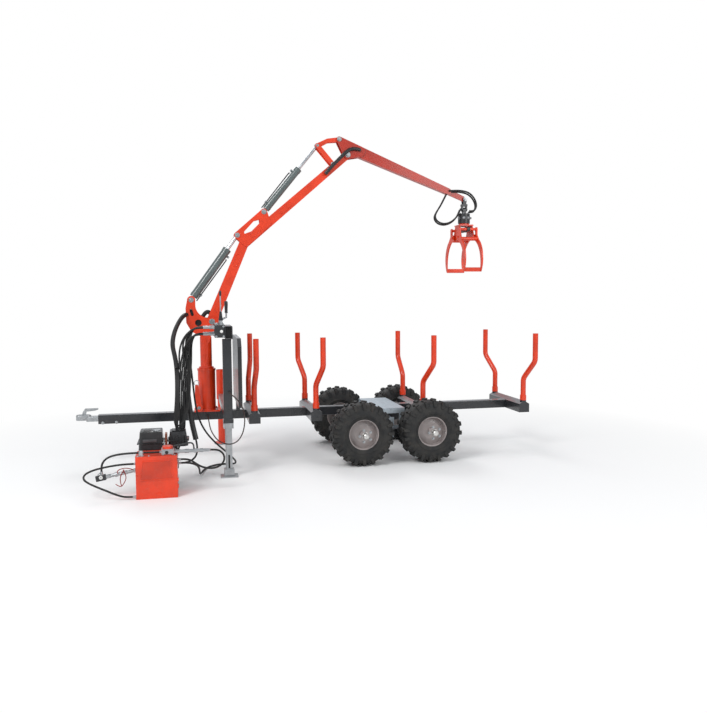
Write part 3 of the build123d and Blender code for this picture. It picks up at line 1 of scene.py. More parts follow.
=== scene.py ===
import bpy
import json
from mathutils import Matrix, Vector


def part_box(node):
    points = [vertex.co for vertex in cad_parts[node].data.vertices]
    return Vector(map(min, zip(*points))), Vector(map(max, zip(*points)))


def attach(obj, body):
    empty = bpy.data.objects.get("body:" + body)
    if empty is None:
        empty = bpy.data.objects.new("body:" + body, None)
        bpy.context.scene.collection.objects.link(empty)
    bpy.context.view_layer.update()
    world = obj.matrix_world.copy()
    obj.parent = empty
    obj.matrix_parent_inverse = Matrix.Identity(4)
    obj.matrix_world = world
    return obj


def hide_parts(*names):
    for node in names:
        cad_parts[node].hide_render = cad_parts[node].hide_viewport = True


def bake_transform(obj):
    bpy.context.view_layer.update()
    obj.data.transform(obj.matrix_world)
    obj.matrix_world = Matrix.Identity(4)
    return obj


bl_info = {
    "name": "Forestry crane trailer",
    "version": (1, 0, 0),
    "blender": (4, 5, 0),
    "location": "View3D > Sidebar > Crane trailer",
    "description": "Finishes, tyres, hoses and fittings of a small forestry trailer with a loader crane",
    "category": "Object",
}

import json
import math

import bmesh
import bpy
from bpy.props import FloatProperty, FloatVectorProperty, IntProperty, PointerProperty
from mathutils import Matrix, Vector

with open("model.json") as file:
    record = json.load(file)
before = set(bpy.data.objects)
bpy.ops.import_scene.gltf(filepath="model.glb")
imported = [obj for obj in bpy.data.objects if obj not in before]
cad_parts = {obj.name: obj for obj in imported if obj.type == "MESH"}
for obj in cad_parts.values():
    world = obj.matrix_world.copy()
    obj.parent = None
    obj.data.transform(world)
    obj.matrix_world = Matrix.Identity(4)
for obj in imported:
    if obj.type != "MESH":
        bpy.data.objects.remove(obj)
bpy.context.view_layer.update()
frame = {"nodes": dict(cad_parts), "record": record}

MM = 0.001
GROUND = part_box("tyre_rear_near")[0].z
REARWARD, ACROSS, NEAR, UP = (1, 0, 0), (0, 1, 0), (0, -1, 0), (0, 0, 1)
UPRIGHT = Matrix.Rotation(math.pi / 2, 4, "X")


def linear(hex_colour):
    """A colour written in sRGB hex, as linear numbers."""
    channels = [int(hex_colour[i : i + 2], 16) / 255 for i in (1, 3, 5)]
    return tuple(c / 12.92 if c <= 0.04045 else ((c + 0.055) / 1.055) ** 2.4 for c in channels)


def colour(hex_colour, name, description):
    return FloatVectorProperty(
        name=name, description=description, subtype="COLOR", size=3, min=0, max=1, default=linear(hex_colour)
    )


def size(millimetres, name, description):
    return FloatProperty(name=name, description=description, unit="LENGTH", default=millimetres * MM, min=0)


class TRAILER_PG_colours(bpy.types.PropertyGroup):
    crane: colour("#DE3809", "Crane paint", "Orange-red powder coat of the crane, stakes and tank")
    arm: colour("#B0260A", "Arm paint", "The arm's coat, in its own shade")
    chassis: colour("#212327", "Chassis paint", "Dark grey gloss of the beams, bunks and post")
    cylinder: colour("#56605F", "Cylinder paint", "Grey of the cylinder barrels")
    casting: colour("#1B1C1E", "Castings", "Black of the valve, rotator and engine covers")
    rubber: colour("#141516", "Tyre rubber", "Tyres, dusty black")
    hose: colour("#0D0D0E", "Hose rubber", "Hydraulic hoses")
    rim: colour("#9C9391", "Rim paint", "Silver lacquer of the rims")
    zinc: colour("#B9BCBE", "Zinc", "Plated steel of the coupling, leg and fittings")
    galvanised: colour("#C3CED6", "Galvanised plate", "Hot dipped bridge plate")


class TRAILER_PG_sizes(bpy.types.PropertyGroup):
    lugs: IntProperty(name="Lug pairs", description="Pairs of lugs round a tyre", default=20, min=8, max=40)
    lug_height: size(13, "Lug height", "How far a lug stands out of the carcass")
    nut_circle: size(52, "Nut circle", "Radius of the circle of the wheel nuts")


# Finishes


def add_node(tree, kind, links=(), **settings):
    """One shader node with its settings. A link is (own input, other node, other output)."""
    made = tree.nodes.new(kind)
    for key, value in settings.items():
        if hasattr(made, key):
            setattr(made, key, value)
        else:
            made.inputs[key.replace("_", " ")].default_value = value
    for own, other, output in links:
        tree.links.new(other.outputs[output], made.inputs[own])
    return made


def plug(tree, socket, value):
    """Links an output to a socket, or sets a number or a colour there."""
    if isinstance(value, bpy.types.NodeSocket):
        tree.links.new(value, socket)
    else:
        socket.default_value = (*value[:3], 1) if isinstance(value, tuple) else value


def feed(tree, shader, **values):
    for key, value in values.items():
        plug(tree, shader.inputs[key.replace("_", " ")], value)


def recipe(build):
    """A finish that is made once for each name. Its recipe gets the tree, the shader and the coordinates."""

    def make(name, *settings, **named):
        made = bpy.data.materials.get(name)
        if made is None:
            made = bpy.data.materials.new(name)
            made.use_nodes = True
            tree = made.node_tree
            place = add_node(tree, "ShaderNodeTexCoord")
            build(tree, tree.nodes["Principled BSDF"], place, *settings, **named)
        return made

    return make


def object_noise(tree, place, scale, detail, roughness=0.6):
    links = [("Vector", place, "Object")]
    return add_node(tree, "ShaderNodeTexNoise", links, Scale=scale, Detail=float(detail), Roughness=roughness)


def ramp(tree, source, low, high, low_value=0.0, high_value=1.0, output="Fac"):
    limits = {"From_Min": low, "From_Max": high, "To_Min": low_value, "To_Max": high_value}
    return add_node(tree, "ShaderNodeMapRange", [("Value", source, output)], **limits).outputs["Result"]


def mix(tree, factor, first, second):
    made = add_node(tree, "ShaderNodeMix", data_type="RGBA")
    for socket, value in ((0, factor), (6, first), (7, second)):
        plug(tree, made.inputs[socket], value)
    return made.outputs[2]


def multiply(tree, first, second):
    made = add_node(tree, "ShaderNodeMath", operation="MULTIPLY")
    plug(tree, made.inputs[0], first)
    plug(tree, made.inputs[1], second)
    return made.outputs["Value"]


def bump(tree, shader, height, strength, distance):
    made = add_node(tree, "ShaderNodeBump", [("Height", height, "Fac")], Strength=strength, Distance=distance)
    feed(tree, shader, Normal=made.outputs["Normal"])


def shade(base, share):
    return tuple(min(1, channel * share) for channel in base)


@recipe
def powder_coat(tree, shader, place, base, roughness=0.32, coat=0.22, dust=0.16, top=0.0):
    """Sprayed and baked coat: a faint orange peel, a clear gloss, pale dust low down in patches, and a painted pale sky
    reflection on faces that point up.
    """
    patches = object_noise(tree, place, 7, 5)
    body = mix(tree, ramp(tree, patches, 0.3, 0.7), shade(base, 0.80), shade(base, 1.10))
    height = add_node(tree, "ShaderNodeSeparateXYZ", [("Vector", place, "Object")])
    low = ramp(tree, height, GROUND, GROUND + 0.9, 1, 0, "Z")
    spots = ramp(tree, object_noise(tree, place, 60, 6, 0.75), 0.52, 0.72)
    body = mix(tree, multiply(tree, multiply(tree, low, spots), dust), body, linear("#8E8479"))
    # Painted reflection: faces that point up are mixed towards pale grey, standing in for the sky seen in the gloss.
    if top:
        facing = add_node(tree, "ShaderNodeNewGeometry")
        split = add_node(tree, "ShaderNodeSeparateXYZ", [("Vector", facing, "Normal")])
        body = mix(tree, ramp(tree, split, 0.6, 0.95, 0, top, "Z"), body, linear("#A9A9AC"))
    gloss = ramp(tree, patches, 0.3, 0.7, roughness * 0.85, roughness * 1.25)
    feed(tree, shader, Base_Color=body, Roughness=gloss, Coat_Weight=coat, Coat_Roughness=0.12)
    bump(tree, shader, object_noise(tree, place, 420, 2, 0.4), 0.06, 0.0006)


@recipe
def plated_steel(tree, shader, place, base, roughness=0.28):
    """Zinc plated steel: bright, with a drawn grain and duller patches."""
    stretch = add_node(tree, "ShaderNodeMapping", [("Vector", place, "Object")], Scale=(1, 1, 0.12))
    grain = add_node(tree, "ShaderNodeTexNoise", [("Vector", stretch, "Vector")], Scale=330, Detail=3.0)
    patches = object_noise(tree, place, 18, 4)
    body = mix(tree, ramp(tree, patches, 0.3, 0.7), shade(base, 0.72), base)
    gloss = ramp(tree, patches, 0.3, 0.75, roughness, roughness + 0.18)
    feed(tree, shader, Base_Color=body, Metallic=0.9, Roughness=gloss)
    bump(tree, shader, grain, 0.08, 0.0005)


@recipe
def spangled_zinc(tree, shader, place, base):
    """Hot dipped zinc: spangles of a few millimetres in slightly different greys, half matt."""
    spangle = add_node(tree, "ShaderNodeTexVoronoi", [("Vector", place, "Object")], Scale=70.0)
    split = add_node(tree, "ShaderNodeSeparateColor", [("Color", spangle, "Color")])
    body = mix(tree, split.outputs["Red"], shade(base, 0.78), base)
    feed(tree, shader, Base_Color=body, Metallic=0.55, Roughness=ramp(tree, split, 0, 1, 0.32, 0.55, "Green"))


@recipe
def hard_chrome(tree, shader, place):
    """Ground and plated piston rod: nearly a mirror."""
    gloss = ramp(tree, object_noise(tree, place, 25, 3), 0.3, 0.7, 0.06, 0.16)
    feed(tree, shader, Base_Color=linear("#D5D8DA"), Metallic=1, Roughness=gloss)


@recipe
def dusty_rubber(tree, shader, place, base, dust, roughness, scale, grain):
    """Moulded rubber: matt, with dust in patches and a fine moulded grain."""
    patches = object_noise(tree, place, scale, 6, 0.7)
    body = mix(tree, ramp(tree, patches, 0.42, 0.72, 0, dust), base, linear("#7C756B"))
    gloss = ramp(tree, patches, 0.3, 0.7, roughness, min(1, roughness + 0.2))
    feed(tree, shader, Base_Color=body, Roughness=gloss)
    bump(tree, shader, object_noise(tree, place, grain, 3), 0.25, 0.0008)


@recipe
def black_plastic(tree, shader, place, base, roughness=0.3):
    """Glossy injection moulded cover with a light grain."""
    patches = object_noise(tree, place, 30, 5)
    body = mix(tree, ramp(tree, patches, 0.35, 0.75), base, tuple(c * 1.5 + 0.004 for c in base))
    gloss = ramp(tree, patches, 0.3, 0.7, roughness, roughness + 0.14)
    feed(tree, shader, Base_Color=body, Roughness=gloss, Coat_Weight=0.3)
    bump(tree, shader, object_noise(tree, place, 700, 2), 0.1, 0.0003)


def shades(name):
    return tuple(getattr(bpy.context.scene.trailer_colours, name))


def sizes():
    return bpy.context.scene.trailer_sizes


def crane_paint():
    return powder_coat("orange_powder_coat", shades("crane"))


def chassis_paint():
    # Its upward faces get the painted pale sky reflection.
    return powder_coat("dark_grey_powder_coat", shades("chassis"), roughness=0.3, coat=0.35, dust=0.18, top=0.5)


def cylinder_paint():
    return powder_coat("grey_cylinder_enamel", shades("cylinder"), 0.24, 0.4)


def white_paint(name):
    return powder_coat(name, linear("#E9E9E6"), 0.35, 0.2, 0.1)


def zinc_plate():
    return plated_steel("zinc_plated_steel", shades("zinc"))


def casting_paint():
    return black_plastic("black_enamelled_casting", shades("casting"), 0.38)


def slot_shadow():
    return black_plastic("slot_shadow", linear("#0A0A0A"), 0.7)


def hose_rubber():
    return dusty_rubber("hose_cover_rubber", shades("hose"), 0.06, 0.48, 40, 900)


def tyre_rubber():
    return dusty_rubber("moulded_tyre_rubber", shades("rubber"), 0.16, 0.58, 14, 500)


# Shapes


def millimetres(*points):
    return [Vector(p) * MM for p in points]


def mm(x, y, z):
    return Vector((x, y, z)) * MM


def across(axis):
    """A turn that brings +Z onto the axis."""
    return Vector(axis).normalized().to_track_quat("Z", "Y").to_matrix().to_4x4()


def rod(bm, start, end, radius, end_radius=None, segments=16):
    start, end = Vector(start), Vector(end)
    run = end - start
    bmesh.ops.create_cone(
        bm,
        cap_ends=True,
        segments=segments,
        radius1=radius,
        radius2=radius if end_radius is None else end_radius,
        depth=run.length,
        matrix=Matrix.Translation((start + end) / 2) @ across(run),
    )


def stack(bm, foot, axis, *rows):
    """Bars along an axis, each (from, to, radius, sides) in millimetres. A fifth value is the far end's radius."""
    foot, axis = mm(*foot), Vector(axis)
    for start, end, radius, sides, *far in rows:
        far_radius = far[0] * MM if far else None
        rod(bm, foot + axis * (start * MM), foot + axis * (end * MM), radius * MM, far_radius, sides)


def block(bm, low, high, edge=0.0, segments=2, turn=None):
    """A box between two corners with rounded edges."""
    low, high = Vector(low), Vector(high)
    corners = bmesh.ops.create_cube(bm, size=1)["verts"]
    bmesh.ops.scale(bm, vec=high - low, verts=corners)
    if edge:
        edges = list(dict.fromkeys(e for v in corners for e in v.link_edges))
        rounded = bmesh.ops.bevel(
            bm, geom=edges, offset=edge, segments=segments, affect="EDGES", profile=0.5, material=-1
        )
        sharp = [v for v in corners if v.is_valid]
        corners = list(dict.fromkeys([v for f in rounded["faces"] for v in f.verts] + sharp))
    if turn is not None:
        bmesh.ops.transform(bm, matrix=turn, verts=corners)
    bmesh.ops.translate(bm, vec=(low + high) / 2, verts=corners)
    return corners


def slab(bm, x, y, z, edge=0.0, turn=None):
    """A block from its limits in millimetres, each as (low, high)."""
    block(bm, mm(x[0], y[0], z[0]), mm(x[1], y[1], z[1]), edge * MM, turn=turn)


def hexagon(bm, foot, axis, radius, height):
    """A bolt's head with its washer, standing on a face."""
    foot, axis = Vector(foot), Vector(axis).normalized() * height
    rod(bm, foot, foot + axis * 0.25, radius * 1.35, segments=20)
    rod(bm, foot + axis * 0.25, foot + axis, radius, segments=6)
    rod(bm, foot + axis, foot + axis * 1.12, radius * 0.8, radius * 0.7, segments=6)


def bolts(bm, axis, radius, height, *places):
    """Bolts' heads of one size, all in millimetres."""
    for place in places:
        hexagon(bm, mm(*place), axis, radius * MM, height * MM)


def spin_round(bm, geometry, centre, axis, steps):
    bmesh.ops.spin(
        bm,
        geom=geometry,
        cent=centre,
        axis=Vector(axis).normalized(),
        angle=math.tau,
        steps=steps,
        use_merge=True,
        use_duplicate=False,
    )


def ring(bm, centre, axis, radius, wire, segments=28, sides=8):
    """A closed ring of round wire."""
    start = Matrix.Translation(centre) @ across(axis) @ Matrix.Translation((radius, 0, 0)) @ UPRIGHT
    made = bmesh.ops.create_circle(bm, segments=sides, radius=wire, matrix=start)
    edges = {e for v in made["verts"] for e in v.link_edges}
    spin_round(bm, made["verts"] + list(edges), centre, axis, segments)


def turned(bm, profile, centre, axis, segments=32):
    """A closed ring or a solid of revolution from (radius, height) points along the axis."""
    turn = Matrix.Translation(centre) @ across(axis)
    corners = [bm.verts.new(turn @ Vector((r, 0, h))) for r, h in profile]
    lines = [bm.edges.new(pair) for pair in zip(corners, corners[1:])]
    if profile[0] != profile[-1] and profile[0][0] > 0 and profile[-1][0] > 0:
        lines.append(bm.edges.new((corners[-1], corners[0])))
    spin_round(bm, corners + lines, centre, axis, segments)
    bmesh.ops.remove_doubles(bm, verts=bm.verts, dist=1e-6)


def plate(bm, outline, thickness, place):
    """A flat plate from its outline's (x, y) corners, pushed out along the place's z."""
    face = bm.faces.new([bm.verts.new(place @ Vector((x, y, 0))) for x, y in outline])
    pushed = bmesh.ops.extrude_face_region(bm, geom=[face])
    moved = [v for v in pushed["geom"] if isinstance(v, bmesh.types.BMVert)]
    bmesh.ops.translate(bm, vec=place.to_3x3() @ Vector((0, 0, thickness)), verts=moved)


def bead(bm, start, end, radius):
    """A weld bead in short overlapping ripples along a straight run."""
    count = max(2, round((end - start).length / (radius * 1.5)))
    for step in range(count + 1):
        ripple = Matrix.Translation(start.lerp(end, step / count))
        bmesh.ops.create_icosphere(bm, subdivisions=1, radius=radius, matrix=ripple)


def add_object(name, data):
    made = bpy.data.objects.new(name, data)
    bpy.context.scene.collection.objects.link(made)
    return made


def finish(bm, name, material, body, smooth=35, bevel=0.0):
    """The mesh as an object at the origin that rides on a body."""
    bmesh.ops.recalc_face_normals(bm, faces=bm.faces)
    mesh = bpy.data.meshes.new(name)
    bm.to_mesh(mesh)
    bm.free()
    mesh.polygons.foreach_set("use_smooth", [True] * len(mesh.polygons))
    mesh.set_sharp_from_angle(angle=math.radians(smooth))
    mesh.materials.append(material)
    made = add_object(name, mesh)
    if bevel:
        rounding = made.modifiers.new("rounding", "BEVEL")
        rounding.width = bevel
        rounding.segments = 2
        rounding.limit_method = "ANGLE"
    if body:
        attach(made, body)
    return made


def pipe(name, points, radius, material, body=None, resolution=10):
    """A hose or steel pipe along a smooth line that has these points as its control points."""
    data = bpy.data.curves.new(name, "CURVE")
    data.dimensions = "3D"
    data.bevel_depth = radius
    data.bevel_resolution = 3
    data.resolution_u = resolution
    data.use_fill_caps = True
    spline = data.splines.new("NURBS")
    spline.points.add(len(points) - 1)
    for point, place in zip(spline.points, points):
        point.co = (*place, 1)
    spline.order_u = 3
    spline.use_endpoint_u = True
    if material:
        data.materials.append(material)
    made = add_object(name, data)
    if body:
        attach(made, body)
    return made


def curve_mesh(curve):
    """The mesh of a curve, which is then removed."""
    bpy.context.view_layer.update()
    mesh = bpy.data.meshes.new_from_object(curve.evaluated_get(bpy.context.evaluated_depsgraph_get()))
    bpy.data.objects.remove(curve)
    return mesh


def pipe_mesh(name, points, radius, material):
    """The same pipe as a mesh, for one that runs across a joint."""
    mesh = curve_mesh(pipe(name + "_line", points, radius, material))
    mesh.name = name
    mesh.polygons.foreach_set("use_smooth", [True] * len(mesh.polygons))
    if not mesh.materials:
        mesh.materials.append(material)
    return add_object(name, mesh)


def read_path(points, resolution=24):
    """The points that a hose's own spline runs through, for pieces that follow it."""
    mesh = curve_mesh(pipe("guide_line", points, 0.0, None, resolution=resolution))
    path = [v.co.copy() for v in mesh.vertices]
    bpy.data.meshes.remove(mesh)
    return path


def ribbed(name, path, radius, pitch, body=None):
    """A corrugated sleeve along a fine path: a wide and a narrow band for each rib."""
    length = sum((end - start).length for start, end in zip(path, path[1:]))
    step = length / round(length / pitch)
    spots, left = [], 0.0
    for start, end in zip(path, path[1:]):
        run = (end - start).length
        while left <= run:
            spots.append(start.lerp(end, left / run))
            left += step
        left -= run
    bm = bmesh.new()
    for first, second in zip(spots, spots[1:]):
        middle = first.lerp(second, 0.55)
        rod(bm, first, middle, radius, segments=24)
        rod(bm, middle, second, radius * 0.9, segments=24)
    return finish(bm, name, black_plastic("sleeve_plastic", linear("#161617"), 0.45), body, 50)


class TRAILER_OT_finishes(bpy.types.Operator):
    """Give every CAD piece that stays its real finish"""

    bl_idname = "trailer.finishes"
    bl_label = "Finishes"

    def execute(self, context):
        finishes = {
            "dark_paint": chassis_paint(),
            "galvanised": spangled_zinc("hot_dipped_zinc", shades("galvanised")),
            "zinc": zinc_plate(),
            "red_paint": crane_paint(),
            "arm_paint": powder_coat("dark_orange_powder_coat", shades("arm")),
            "dark_casting": casting_paint(),
            "cylinder_grey": cylinder_paint(),
            "grey_tube": powder_coat("grey_tube_enamel", shades("cylinder"), 0.35, 0.3),
            "chrome": hard_chrome("hard_chromed_rod"),
            "tyre_rubber": tyre_rubber(),
            "hose_rubber": hose_rubber(),
            "rim_silver": powder_coat("silver_lacquer", shades("rim"), 0.34, 0.3, 0.5),
        }
        for row in frame["record"]["subparts"]:
            cad = frame["nodes"][row["node"]]
            cad.data.materials.clear()
            cad.data.materials.append(finishes[row["material_slot"]])
        return {"FINISHED"}


class TRAILER_OT_stage(bpy.types.Operator):
    """Pale floor, soft light and the camera of the photograph"""

    bl_idname = "trailer.stage"
    bl_label = "Stage"

    PHOTO_WIDTH, FOCAL_PIXELS = 713, 738.98
    CAMERA_PLACE = (0.9687, -6.7925, 1.0702)
    YAW, PITCH, ROLL = 0.2158, -0.0834, -0.0066

    def execute(self, context):
        scene = context.scene
        scene.view_settings.view_transform = "Standard"
        self.camera(scene)
        bm = bmesh.new()
        under = Matrix.Translation((2, 0, GROUND - 0.0005))
        bmesh.ops.create_circle(bm, cap_ends=True, segments=96, radius=60, matrix=under)
        bmesh.ops.recalc_face_normals(bm, faces=bm.faces)
        floor_mesh = bpy.data.meshes.new("floor")
        bm.to_mesh(floor_mesh)
        bm.free()
        floor = add_object("floor", floor_mesh)
        floor_mesh.materials.append(white_sweep("white_sweep"))

        world = bpy.data.worlds.new("studio")
        scene.world = world
        world.use_nodes = True
        tree = world.node_tree
        tree.nodes.clear()
        path = add_node(tree, "ShaderNodeLightPath")
        lamp = add_node(tree, "ShaderNodeBackground", Strength=0.62, Color=(*linear("#F2F5FA"), 1))
        seen = add_node(tree, "ShaderNodeBackground", Strength=1.0, Color=(1, 1, 1, 1))
        links = [(0, path, "Is Camera Ray"), (1, lamp, "Background"), (2, seen, "Background")]
        either = add_node(tree, "ShaderNodeMixShader", links)
        add_node(tree, "ShaderNodeOutputWorld", [("Surface", either, "Shader")])

        for name, spot, target, power in (
            ("key", (-3.5, -5.5, 6.5), (1.8, 0, 0.6), 430),
            ("fill", (6.5, -6.0, 3.5), (2.4, 0, 0.3), 150),
            ("back", (1.5, 6.0, 6.0), (2, 0, 0.6), 170),
        ):
            data = bpy.data.lights.new(name, "AREA")
            data.shape = "DISK"
            data.size = 4.0
            data.energy = power
            aim = (Vector(target) - Vector(spot)).to_track_quat("-Z", "Y").to_matrix().to_4x4()
            add_object(name, data).matrix_world = Matrix.Translation(spot) @ aim
        return {"FINISHED"}

    def camera(self, scene):
        yaw, pitch, roll = self.YAW, self.PITCH, self.ROLL
        forward = Vector((math.sin(yaw) * math.cos(pitch), math.cos(yaw) * math.cos(pitch), math.sin(pitch)))
        right = Vector((math.cos(yaw), -math.sin(yaw), 0))
        up = right.cross(forward)
        tilted_right = right * math.cos(roll) + up * math.sin(roll)
        tilted_up = up * math.cos(roll) - right * math.sin(roll)
        turn = Matrix((tilted_right, tilted_up, -forward)).transposed().to_4x4()
        lens = bpy.data.cameras.new("camera")
        lens.sensor_width = 36
        lens.lens = self.FOCAL_PIXELS * lens.sensor_width / self.PHOTO_WIDTH
        lens.sensor_fit = "AUTO"
        scene.camera = add_object("camera", lens)
        scene.camera.matrix_world = Matrix.Translation(self.CAMERA_PLACE) @ turn


@recipe
def white_sweep(tree, shader, place):
    """Keeps the shadow near the object and runs out to white."""
    centred = add_node(tree, "ShaderNodeMapping", [("Vector", place, "Object")], Location=(-2, 0.3, 0))
    away = add_node(tree, "ShaderNodeVectorMath", [(0, centred, "Vector")], operation="LENGTH")
    path = add_node(tree, "ShaderNodeLightPath")
    feed(tree, shader, Base_Color=linear("#F4F4F3"), Roughness=0.9)
    white = add_node(tree, "ShaderNodeEmission", Strength=1.0)
    far = multiply(tree, ramp(tree, away, 2.0, 4.5, 0, 1, "Value"), path.outputs["Is Camera Ray"])
    either = add_node(tree, "ShaderNodeMixShader", [(1, shader, "BSDF"), (2, white, "Emission")])
    plug(tree, either.inputs[0], far)
    plug(tree, tree.nodes["Material Output"].inputs["Surface"], either.outputs["Shader"])


WHEELS = ("front_near", "rear_near", "front_far", "rear_far")


def wheel_place(label):
    low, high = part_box(f"tyre_{label}")
    return (low + high) / 2, (high - low) / 2


class TRAILER_OT_tyres(bpy.types.Operator):
    """Tyres with their tread lugs and side knobs"""

    bl_idname = "trailer.tyres"
    bl_label = "Tyres"

    def execute(self, context):
        rubber = tyre_rubber()
        for index, label in enumerate(WHEELS):
            centre, half = wheel_place(label)
            outer, wide = half.z, half.y
            crown = outer - sizes().lug_height
            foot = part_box(f"rim_{label}")[1].z - centre.z - 0.008
            bm = bmesh.new()
            profile = (
                (foot, 0.032),
                (foot + 0.006, 0.020),
                (foot + 0.030, 0.010),
                (foot + 0.034, 0.006),
                (foot + 0.040, 0.006),
                (foot + 0.044, 0.010),
                (crown - 0.045, 0.010),
                (crown - 0.020, 0.020),
                (crown - 0.006, 0.040),
                (crown, 0.075),
            )
            side = [(radius, inset - wide) for radius, inset in profile]
            full = [*side, (crown + 0.001, 0.0), *[(r, -h) for r, h in reversed(side)]]
            turned(bm, full, centre, ACROSS, 72)
            self.lugs(bm, centre, crown, outer, wide, index * 0.4)
            tyre = finish(bm, f"tread_{label}", rubber, f"wheel_{label}", smooth=40)
            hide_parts(f"tyre_{label}")
        return {"FINISHED"}

    def lugs(self, bm, centre, crown, outer, wide, turn):
        # A lug's bars: lowest and highest (circumference, across, radius) and the skew
        bars = (
            ((-0.013, 0.010, crown - 0.006), (0.013, wide * 0.50, outer), -0.42),
            ((-0.016, wide * 0.46, crown - 0.010), (0.016, wide - 0.030, outer - 0.003), 0.20),
            ((-0.015, wide - 0.040, crown - 0.052), (0.015, wide - 0.004, outer - 0.012), 0.0),
        )
        count = sizes().lugs
        for place in range(2 * count):
            side = 1 if place % 2 else -1
            spin = Matrix.Translation(centre) @ Matrix.Rotation(turn + math.pi * place / count, 4, "Y")
            for low, high, skew in bars:
                inner, out = sorted((side * low[1], side * high[1]))
                skewed = Matrix.Rotation(side * skew, 4, "Z")
                corners = block(bm, (low[0], inner, low[2]), (high[0], out, high[2]), 0.0035, 1, skewed)
                bmesh.ops.transform(bm, matrix=spin, verts=corners)


class TRAILER_OT_rims(bpy.types.Operator):
    """Wheel nuts, caps and valves on the rims"""

    bl_idname = "trailer.rims"
    bl_label = "Rims"

    NUTS = 5
    DISC_DEPTH = 0.055
    CAP = (
        (0, 0.040), (0.016, 0.040), (0.024, 0.034), (0.0265, 0.022), (0.0265, -0.002), (0.030, -0.004), (0.030, -0.008),
    )

    def execute(self, context):
        plated, cap = zinc_plate(), plated_steel("bright_cap", linear("#DAD8D4"), 0.22)
        for label in WHEELS:
            centre = wheel_place(label)[0]
            side = 1 if centre.y > 0 else -1
            edge = (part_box(f"rim_{label}")[1].y - centre.y) * side
            disc = Vector((centre.x, centre.y + side * abs(edge - self.DISC_DEPTH), centre.z))
            axis = Vector((0, side, 0))
            bm = bmesh.new()
            for number in range(self.NUTS):
                angle = math.tau * (number + 0.5) / self.NUTS
                foot = disc + Vector((math.cos(angle), 0, math.sin(angle))) * sizes().nut_circle
                hexagon(bm, foot, axis, 0.0095, 0.014)
            rod(bm, disc + Vector((0.098, -side * 0.03, 0)), disc + Vector((0.092, side * 0.022, 0)), 0.004, 0.003, 10)
            finish(bm, f"wheel_nuts_{label}", plated, f"wheel_{label}", 30)
            bm = bmesh.new()
            turned(bm, self.CAP, disc, axis, 28)
            finish(bm, f"hub_cap_{label}", cap, f"wheel_{label}", 30)
        return {"FINISHED"}


# Each free hose: the node it stands for, its real length in metres, its diameter and its route in millimetres
HOSES = (
    ("hose_valve_1", 1.175, 15, (
        (1061, -722, 812), (1008, -722, 812), (955, -724, 788), (908, -728, 738), (876, -734, 664), (866, -741, 574),
        (876, -748, 464), (890, -756, 350), (898, -764, 234), (900, -772, 122), (898, -770, 14), (876, -780, -84),
        (832, -835, -165), (832, -835, -228),
    )),
    ("hose_valve_2", 1.304, 15, (
        (1061, -678, 812), (1008, -678, 812), (956, -682, 788), (914, -688, 738), (896, -696, 664), (900, -704, 570),
        (910, -711, 462), (922, -719, 350), (932, -727, 238), (944, -736, 128), (960, -748, 20), (980, -764, -68),
        (994, -790, -142), (986, -832, -202), (950, -866, -232), (902, -888, -245), (850, -888, -245),
    )),
    ("hose_valve_3", 1.163, 15, (
        (1061, -634, 812), (1008, -634, 812), (958, -640, 786), (926, -648, 730), (920, -656, 648), (928, -662, 550),
        (936, -668, 440), (936, -674, 330), (926, -682, 220), (908, -694, 114), (884, -714, 10), (856, -738, -80),
        (814, -782, -158), (814, -782, -228),
    )),
    ("hose_return", 2.62, 15, (
        (1061, -634, 759), (1014, -634, 759), (973, -638, 735), (949, -644, 694), (944, -652, 630), (952, -661, 546),
        (962, -670, 446), (971, -678, 344), (980, -686, 244), (992, -690, 146), (1016, -688, 54), (1056, -668, -34),
        (1110, -636, -112), (1168, -600, -178), (1226, -556, -238), (1280, -500, -300), (1316, -430, -354),
        (1318, -348, -394), (1278, -282, -411), (1206, -262, -411), (1136, -296, -411), (1080, -364, -411),
        (1046, -452, -410), (1028, -552, -406), (1014, -650, -396), (1010, -745, -373), (1006, -832, -338),
        (1005, -903, -303), (1000, -965, -270), (985, -1024, -238), (953, -1066, -213), (912, -1085, -200),
        (868, -1085, -200),
    )),
    ("hose_loop", 0.558, 15, (
        (1086, -1197, -86), (1129, -1197, -86), (1168, -1189, -105), (1190, -1175, -141), (1190, -1159, -182),
        (1168, -1145, -219), (1129, -1136, -240), (1079, -1137, -243), (1028, -1147, -228), (986, -1165, -200),
        (950, -1185, -166), (912, -1199, -147), (868, -1199, -147),
    )),
    ("hose_left_1", 0.515, 15, (
        (728.5, -1197, -86), (670, -1197, -86), (610, -1192, -85), (546, -1185, -85), (480, -1176, -88),
        (416, -1164, -95), (358, -1152, -109), (316, -1143, -136), (294, -1140, -176), (294, -1140, -221),
    )),
    ("hose_left_2", 0.867, 15, (
        (518, -1060, -194), (464, -1060, -194), (404, -1050, -199), (342, -1030, -210), (282, -1010, -224),
        (222, -1006, -238), (174, -1034, -252), (156, -1090, -266), (172, -1148, -282), (222, -1188, -303),
        (282, -1208, -328), (344, -1219, -355), (404, -1228, -382), (462, -1232, -402), (518, -1232, -402),
    )),
    ("hose_leg", 1.465, 10, (
        (1095, -40, -10), (1095, -92, -10), (1098, -150, -24), (1102, -220, -48), (1107, -300, -72),
        (1112, -390, -82), (1119, -490, -85), (1128, -590, -88), (1142, -680, -97), (1170, -758, -114),
        (1214, -820, -124), (1262, -862, -120), (1314, -868, -96), (1350, -864, -42), (1368, -858, 24),
        (1372, -852, 92), (1362, -864, 156), (1338, -872, 212), (1300, -866, 254), (1268, -838, 280),
        (1255, -786, 288), (1255, -736, 288),
    )),
)


